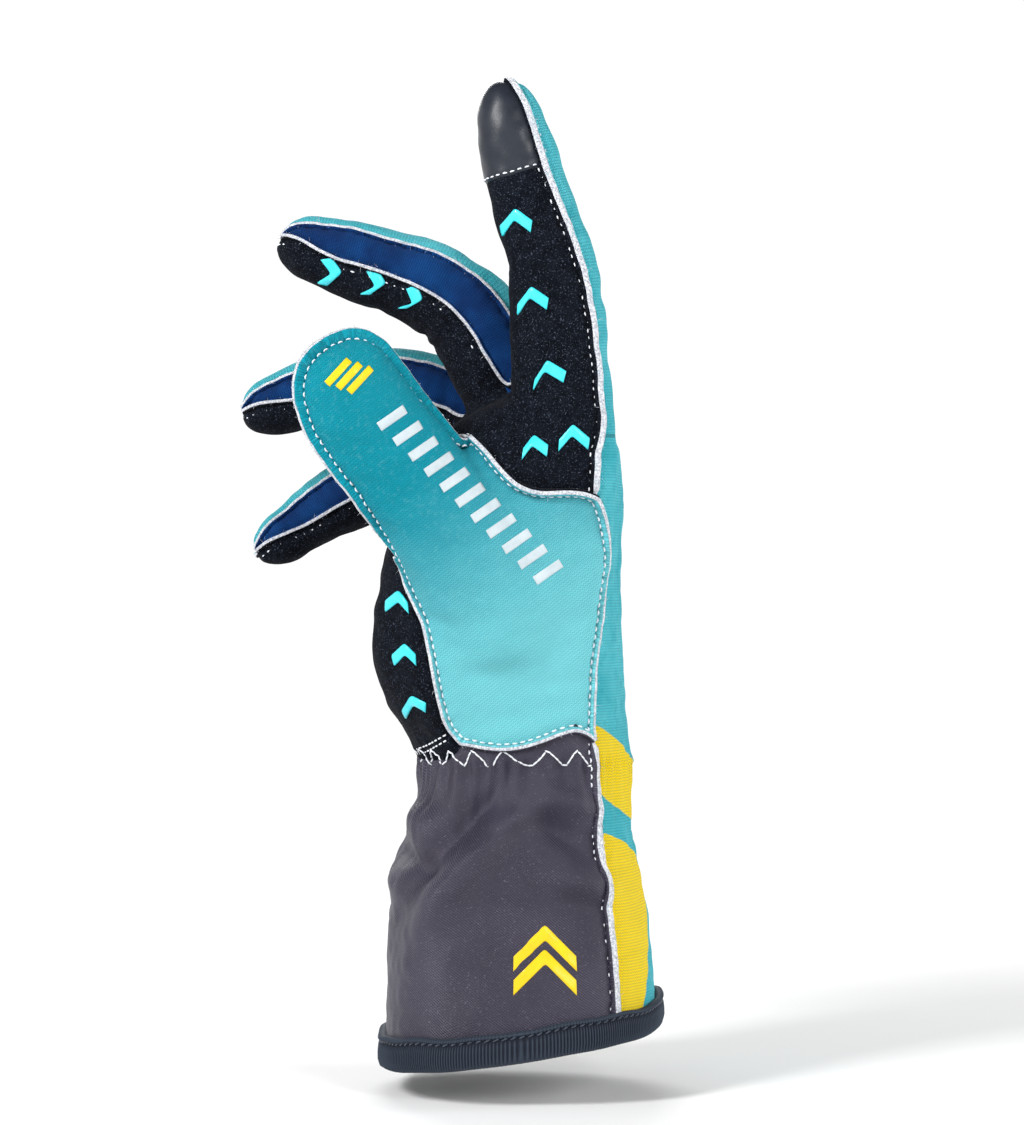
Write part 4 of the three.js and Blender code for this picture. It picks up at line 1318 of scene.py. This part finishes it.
def markSplit(tree):
    rows = addNode(tree, "Attribute", attribute_name="marks").outputs["Vector"]
    parts = addNode(tree, "SeparateXYZ", {0: rows})
    return parts.outputs[0], parts.outputs[1], parts.outputs[2]


def loopHeight(tree, wale, course):
    # little V-shaped loops of a jersey knit: wale and course are their width and height in mm
    u, v = weaveSplit(tree)
    column = maths(tree, "FRACT", maths(tree, "DIVIDE", u, wale))
    across = maths(tree, "ABSOLUTE", maths(tree, "SUBTRACT", column, 0.5))
    slanted = maths(tree, "ADD", maths(tree, "DIVIDE", v, course), maths(tree, "MULTIPLY", across, 1.1))
    row = maths(tree, "FRACT", slanted)
    rise = maths(tree, "SINE", maths(tree, "MULTIPLY", row, math.pi))
    leg = maths(tree, "SINE", maths(tree, "MULTIPLY", across, 2 * math.pi))
    leg = maths(tree, "POWER", maths(tree, "ABSOLUTE", leg), 0.45)
    return maths(tree, "MULTIPLY", maths(tree, "POWER", rise, 0.7), leg)


def twillHeight(tree, pitch, lean=1.3):
    # slanting ribs of a twill knit, pitch in mm, crossed by the yarn's own small steps
    u, v = weaveSplit(tree)
    slant = maths(tree, "ADD", u, maths(tree, "MULTIPLY", v, lean))
    rib = maths(tree, "SINE", maths(tree, "MULTIPLY", slant, 2 * math.pi / pitch))
    cross = maths(tree, "SUBTRACT", v, maths(tree, "MULTIPLY", u, 0.4))
    steps = maths(tree, "SINE", maths(tree, "MULTIPLY", cross, 2 * math.pi / (pitch * 0.75)))
    return maths(tree, "MULTIPLY_ADD", rib, 0.36, maths(tree, "MULTIPLY_ADD", steps, 0.14, 0.5))


def setBump(tree, shader, height, distance, strength=1.0, base=None):
    bump = addNode(tree, "Bump", {"Height": height, "Distance": distance * mm, "Strength": strength})
    if base is not None:
        tree.links.new(base, bump.inputs["Normal"])
    tree.links.new(bump.outputs[0], shader.inputs["Normal"])
    return bump.outputs[0]


def backKnit():
    # polyester stretch jersey, knitted, printed teal with yellow waves
    material, tree, shader = startMaterial("back knit, printed polyester jersey", 0.8, 0.02, 0.0, 0.1)
    height = loopHeight(tree, 0.85, 0.75)
    wave, _, seam = markSplit(tree)
    cloud = noiseAt(tree, 16, 4.0, 0.6)
    teal = blendColours(tree, ranged(tree, cloud, 0.3, 0.72), colour("#3dabb8"), colour("#5bc0cb"))
    fleck = noiseAt(tree, 3.2, 2.0)
    teal = blendColours(tree, ranged(tree, fleck, 0.55, 0.68, 0.0, 0.3), teal, colour("#2596a4"))
    wobble = maths(tree, "MULTIPLY_ADD", noiseAt(tree, 6), 1.2, wave)
    printed = blendColours(tree, ranged(tree, wobble, 0.3, 0.9), teal, colour("#f2d200"))
    # painted shade: the hollows between the knit's loops are darkened towards deep teal, then mixed into the printed
    # colour
    darkToneAndShade = blendColours(tree, ranged(tree, height, 0.1, 0.75), colour("#0f5964"), printed)
    mixed = blendColours(tree, 0.55, printed, darkToneAndShade)
    tree.links.new(mixed, shader.inputs["Base Color"])
    soft = setBump(tree, shader, noiseAt(tree, 5), 0.35, 0.6)
    setBump(tree, shader, height, 0.22, 0.9, soft)
    return material


def thumbKnit():
    # polyester jersey over a thin foam, knitted and printed with a fading teal
    material, tree, shader = startMaterial("thumb knit, printed polyester jersey", 0.75, 0.02, 0.0, 0.1)
    height = loopHeight(tree, 0.85, 0.75)
    _, along, _ = markSplit(tree)
    cloud = maths(tree, "MULTIPLY_ADD", noiseAt(tree, 9, 3.0), 14.0, along)
    share = ranged(tree, cloud, 10, 80)
    teal = blendColours(tree, share, colour("#74c8d0"), colour("#058799"))
    fleck = noiseAt(tree, 1.4, 2.0)
    teal = blendColours(tree, ranged(tree, fleck, 0.5, 0.75, 0.0, 0.07), teal, colour("#9fe3e6"))
    # painted shade: the hollows between the knit's loops are darkened towards deep teal, then mixed into the teal
    darkToneAndShade = blendColours(tree, ranged(tree, height, 0.1, 0.75), colour("#0c5a66"), teal)
    tree.links.new(blendColours(tree, 0.45, teal, darkToneAndShade), shader.inputs["Base Color"])
    soft = setBump(tree, shader, noiseAt(tree, 4), 0.3, 0.6)
    setBump(tree, shader, height, 0.2, 0.9, soft)
    return material


def sideKnit():
    # polyester spandex knit, knitted, deep blue
    material, tree, shader = startMaterial("side knit, polyester spandex", 0.7, 0.02, 0.0, 0.1)
    height = loopHeight(tree, 0.7, 0.6)
    cloud = noiseAt(tree, 12)
    blue = blendColours(tree, ranged(tree, cloud, 0.35, 0.65), colour("#072f66"), colour("#0b4483"))
    # painted shade: the hollows between the knit's loops are darkened towards near-black blue
    darkToneAndShade = blendColours(tree, ranged(tree, height, 0.1, 0.8), colour("#041c3c"), blue)
    tree.links.new(darkToneAndShade, shader.inputs["Base Color"])
    setBump(tree, shader, height, 0.18, 0.9)
    return material


def twillKnit():
    # brushed polyester twill knit, purple grey
    material, tree, shader = startMaterial("gauntlet twill, brushed polyester knit", 0.45, 0.03, 0.0, 0.3)
    height = twillHeight(tree, 0.95)
    cloud = noiseAt(tree, 20, 3.0)
    grey = blendColours(tree, ranged(tree, cloud, 0.3, 0.7), colour("#332f3f"), colour("#433e51"))
    # painted shade: the hollows between the twill ribs are darkened towards near-black grey
    light = blendColours(tree, ranged(tree, height, 0.25, 0.85), colour("#2a2833"), grey)
    brushed = ranged(tree, noiseAt(tree, 0.5, 2.0), 0.6, 0.75, 0.0, 0.35)
    hair = blendColours(tree, brushed, light, colour("#7d7b8c"))
    tree.links.new(hair, shader.inputs["Base Color"])
    soft = setBump(tree, shader, noiseAt(tree, 3.5), 0.25, 0.6)
    setBump(tree, shader, height, 0.16, 0.9, soft)
    return material


def suede():
    # microfibre suede, napped, nearly black with pale loose fibres
    material, tree, shader = startMaterial("palm suede, napped microfibre", 0.92, 0.02, 0.0, 0.04)
    nap = noiseAt(tree, 2.6, 5.0, 0.7)
    darkToneAndShade = blendColours(tree, ranged(tree, nap, 0.3, 0.72), colour("#06080d"), colour("#11151d"))
    fibre = noiseAt(tree, 0.42, 3.0, 0.7)
    speck = blendColours(tree, ranged(tree, fibre, 0.56, 0.72, 0.0, 0.75), darkToneAndShade, colour("#545c6d"))
    tree.links.new(speck, shader.inputs["Base Color"])
    soft = setBump(tree, shader, noiseAt(tree, 1.6, 4.0), 0.2, 0.8)
    setBump(tree, shader, fibre, 0.12, 0.9, soft)
    return material


def smoothLeather():
    # coated synthetic leather of the fingertip patch, calendered smooth
    material, tree, shader = startMaterial("tip patch, coated synthetic leather", 0.38, 0.0, 0.0, 0.3)
    cloud = noiseAt(tree, 4)
    base = blendColours(tree, cloud, colour("#161a22"), colour("#262b35"))
    tree.links.new(base, shader.inputs["Base Color"])
    setBump(tree, shader, noiseAt(tree, 0.7, 3.0), 0.05, 0.7)
    return material


def tapeKnit():
    # ribbed elastic tape, woven polyamide, dark navy, paler on its most convex rib tops
    material, tree, shader = startMaterial("binding tape, ribbed polyamide elastic", 0.65, 0.02, 0.0, 0.12)
    point = addNode(tree, "NewGeometry").outputs["Pointiness"]
    # the most convex spots, the rib tops, are mixed towards pale grey
    top = ranged(tree, point, 0.49, 0.56)
    fleck = noiseAt(tree, 0.6, 2.0)
    base = blendColours(tree, fleck, colour("#0d111b"), colour("#1a202c"))
    paleRibTops = blendColours(tree, maths(tree, "MULTIPLY", top, 0.4), base, colour("#4a5563"))
    tree.links.new(paleRibTops, shader.inputs["Base Color"])
    setBump(tree, shader, noiseAt(tree, 0.35, 2.0), 0.12, 0.8)
    return material


def rawEdge():
    # cut edge of foam-backed cloth, fuzzy and off-white
    material, tree, shader = startMaterial("raw seam edge, cut foam laminate", 0.95, 0.6, 0.0, 0.2)
    fuzz = noiseAt(tree, 0.55, 4.0, 0.75)
    base = blendColours(tree, ranged(tree, fuzz, 0.32, 0.66), colour("#8f929f"), colour("#eceef3"))
    stain = blendColours(tree, ranged(tree, noiseAt(tree, 5), 0.5, 0.75, 0.0, 0.5), base, colour("#9fb9c4"))
    tree.links.new(stain, shader.inputs["Base Color"])
    setBump(tree, shader, fuzz, 0.5, 1.0)
    return material


def thread():
    # spun polyester sewing thread, off-white
    material, tree, shader = startMaterial("sewing thread, spun polyester", 0.6, 0.3, 0.0, 0.4)
    base = blendColours(tree, noiseAt(tree, 0.5), colour("#c9ced6"), colour("#f4f6fa"))
    tree.links.new(base, shader.inputs["Base Color"])
    setBump(tree, shader, noiseAt(tree, 0.22, 2.0), 0.08, 0.8)
    return material


def darkThread():
    # spun polyester sewing thread, dyed navy
    material, tree, shader = startMaterial("navy thread, spun polyester", 0.6, 0.3, 0.0, 0.4)
    base = blendColours(tree, noiseAt(tree, 0.5), colour("#202836"), colour("#3f4a5b"))
    tree.links.new(base, shader.inputs["Base Color"])
    setBump(tree, shader, noiseAt(tree, 0.22, 2.0), 0.08, 0.8)
    return material


def silicone(name, low, high, roughness):
    # screen-printed silicone ink, glossy and slightly domed
    material, tree, shader = startMaterial(name, roughness, 0.0, 0.1, 0.3)
    base = blendColours(tree, noiseAt(tree, 3), colour(low), colour(high))
    tree.links.new(base, shader.inputs["Base Color"])
    setBump(tree, shader, noiseAt(tree, 1.2), 0.06, 0.6)
    return material


def floorPaint():
    # matt studio paper
    material, tree, shader = startMaterial("studio paper, matt", 0.95, 0.0, 0.0, 0.1)
    base = blendColours(tree, noiseAt(tree, 40), colour("#f3f3f4"), colour("#f6f6f6"))
    tree.links.new(base, shader.inputs["Base Color"])
    return material


made = {
    "back": backKnit(), "thumb": thumbKnit(), "side": sideKnit(), "twill": twillKnit(), "suede": suede(),
    "leather": smoothLeather(), "tape": tapeKnit(), "edge": rawEdge(), "thread": thread(), "navy": darkThread(),
    "grip": silicone("grip print, silicone", "#25c3d2", "#4fe0ea", 0.28),
    "yellow": silicone("yellow print, silicone ink", "#d2ac05", "#edcb00", 0.55),
    "grey": silicone("grey print, silicone ink", "#a3b0b6", "#c2cdd1", 0.6),
    "floor": floorPaint(),
}
finishes = [
    (pieces["back"], "back", "back_knit", ["back_panel"]), (pieces["palm"], "suede", "suede", ["palm_panel"]),
    (pieces["thumb"], "thumb", "thumb_knit", ["thumb_panel"]),
    (pieces["thumbFront"], "suede", "suede", ["thumb_front"]),
    (pieces["gauntlet"], "twill", "twill_knit", ["gauntlet_panel"]),
    (pieces["indexSide"], "side", "side_knit", ["fourchette_index_middle"]),
    (pieces["middleSide"], "side", "side_knit", ["fourchette_middle_ring"]),
    (pieces["ringSide"], "side", "side_knit", ["fourchette_ring_little"]),
    (seamPieces["seam_back"], "edge", "seam_edge", ["seam_back"]),
    (seamPieces["seam_index"], "edge", "seam_edge", ["seam_index"]),
    (seamPieces["seam_thumb_upper"], "edge", "seam_edge", ["seam_thumb_upper"]),
    (seamPieces["seam_thumb_lower"], "edge", "seam_edge", ["seam_thumb_lower"]),
    (seamPieces["hand"], "edge", "seam_edge", []), (seamPieces["fourchettes"], "edge", "seam_edge", []),
    (tipPatch, "leather", "patch", ["fingertip_patch"]), (binding, "tape", "tape", ["cuff_binding"]),
    (bindingThread, "navy", "thread", []), (patchThread, "thread", "thread", []),
    (stitches, "thread", "thread", []),
    (grips, "grip", "silicone", []), (marks, "yellow", "silicone", []), (dashes, "grey", "silicone", []),
]
for piece, finish, slot, nodes in finishes:
    piece.data.materials.append(made[finish])
    outwardFaces(piece)
    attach(piece, "root")
    if nodes:
        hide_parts(*nodes)

# the estimated cut of each panel in metres: width, length, own area, how it is held, what goes with it;
# the areas were set from the finished meshes
flatCuts = {
    "back": (0.17, 0.26, 0.0245, "stretched",
             [seamPieces["seam_index"], seamPieces["seam_back"], seamPieces["hand"]]),
    "palm": (0.15, 0.19, 0.018, "stretched", [grips, seamPieces["seam_thumb_lower"], tipPatch, patchThread]),
    "thumb": (0.075, 0.14, 0.0066, "stretched", [dashes, stitches]),
    "thumbFront": (0.05, 0.07, 0.0023, "stretched", [seamPieces["seam_thumb_upper"]]),
    "gauntlet": (0.16, 0.095, 0.0125, "gathered", [binding, bindingThread, marks]),
    "indexSide": (0.04, 0.12, 0.0022, "stretched", [seamPieces["fourchettes"]]),
    "middleSide": (0.04, 0.12, 0.0021, "stretched", []),
    "ringSide": (0.036, 0.11, 0.0018, "stretched", []),
}
for name, (width, length, area, held, extra) in flatCuts.items():
    beside = [] if name == "back" else [pieces["back"]]
    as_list(extra)

print("studio")


def studioFloor():
    # a wide round sheet of pale paper under the glove
    rings, count = [0.05, 0.15, 0.3, 0.45, 0.54], 64
    points = [(0, 0, -14)]
    for radius in rings:
        for k in range(count):
            turn = k * 2 * math.pi / count
            points.append((radius * 1000 * math.cos(turn), radius * 1000 * math.sin(turn), -14))
    faces = [(0, 1 + k, 1 + (k + 1) % count) for k in range(count)]
    faces += ringFaces(len(rings), count, 1)
    return meshObject("studio_floor", points, faces)


floor = studioFloor()
floor.data.materials.append(made["floor"])
outwardFaces(floor)


def softLight(name, spot, aim, size, power, tint="#ffffff"):
    data = bpy.data.lights.new(name, "AREA")
    data.shape = "RECTANGLE"
    data.size, data.size_y = size
    data.energy = power
    data.color = colour(tint)[:3]
    light = bpy.data.objects.new(name, data)
    light.location = spot
    way = Vector(aim) - Vector(spot)
    light.rotation_euler = way.to_track_quat("-Z", "Y").to_euler()
    bpy.context.scene.collection.objects.link(light)
    return data


softLight("key light", (-0.55, -0.6, 0.62), (0, 0, 0.12), (0.2, 0.28), 8.2)
softLight("front light", (0.45, -0.85, 0.4), (0, 0, 0.12), (0.2, 0.3), 3.4)
softLight("side light", (0.8, 0.0, 0.25), (0, 0, 0.1), (0.3, 0.6), 3)
softLight("back light", (-0.1, 0.8, 0.6), (0, 0, 0.12), (0.5, 0.4), 5)


def studioAir():
    # white round the horizon, dim above, so the glove keeps its shading
    world = bpy.data.worlds.new("studio air")
    bpy.context.scene.world = world
    world.use_nodes = True
    tree = world.node_tree
    way = addNode(tree, "SeparateXYZ", {0: addNode(tree, "TexCoord").outputs["Generated"]}).outputs[2]
    share = ranged(tree, maths(tree, "ABSOLUTE", way), 0.24, 0.6)
    strength = addNode(tree, "MapRange", {0: share, 3: 1.05, 4: 0.12}).outputs[0]
    background = tree.nodes["Background"]
    background.inputs["Color"].default_value = colour("#ffffff")
    tree.links.new(strength, background.inputs["Strength"])


studioAir()
bpy.context.scene.view_settings.view_transform = "Standard"

cameraData = bpy.data.cameras.new("photo camera")
cameraData.sensor_fit = "VERTICAL"
cameraData.sensor_height = 36
cameraData.sensor_width = 36
cameraData.lens = 118.5
camera = bpy.data.objects.new("photo camera", cameraData)
camera.location = cameraSpot * mm
camera.rotation_euler = (math.pi / 2, 0, 0)
bpy.context.scene.collection.objects.link(camera)
bpy.context.scene.camera = camera
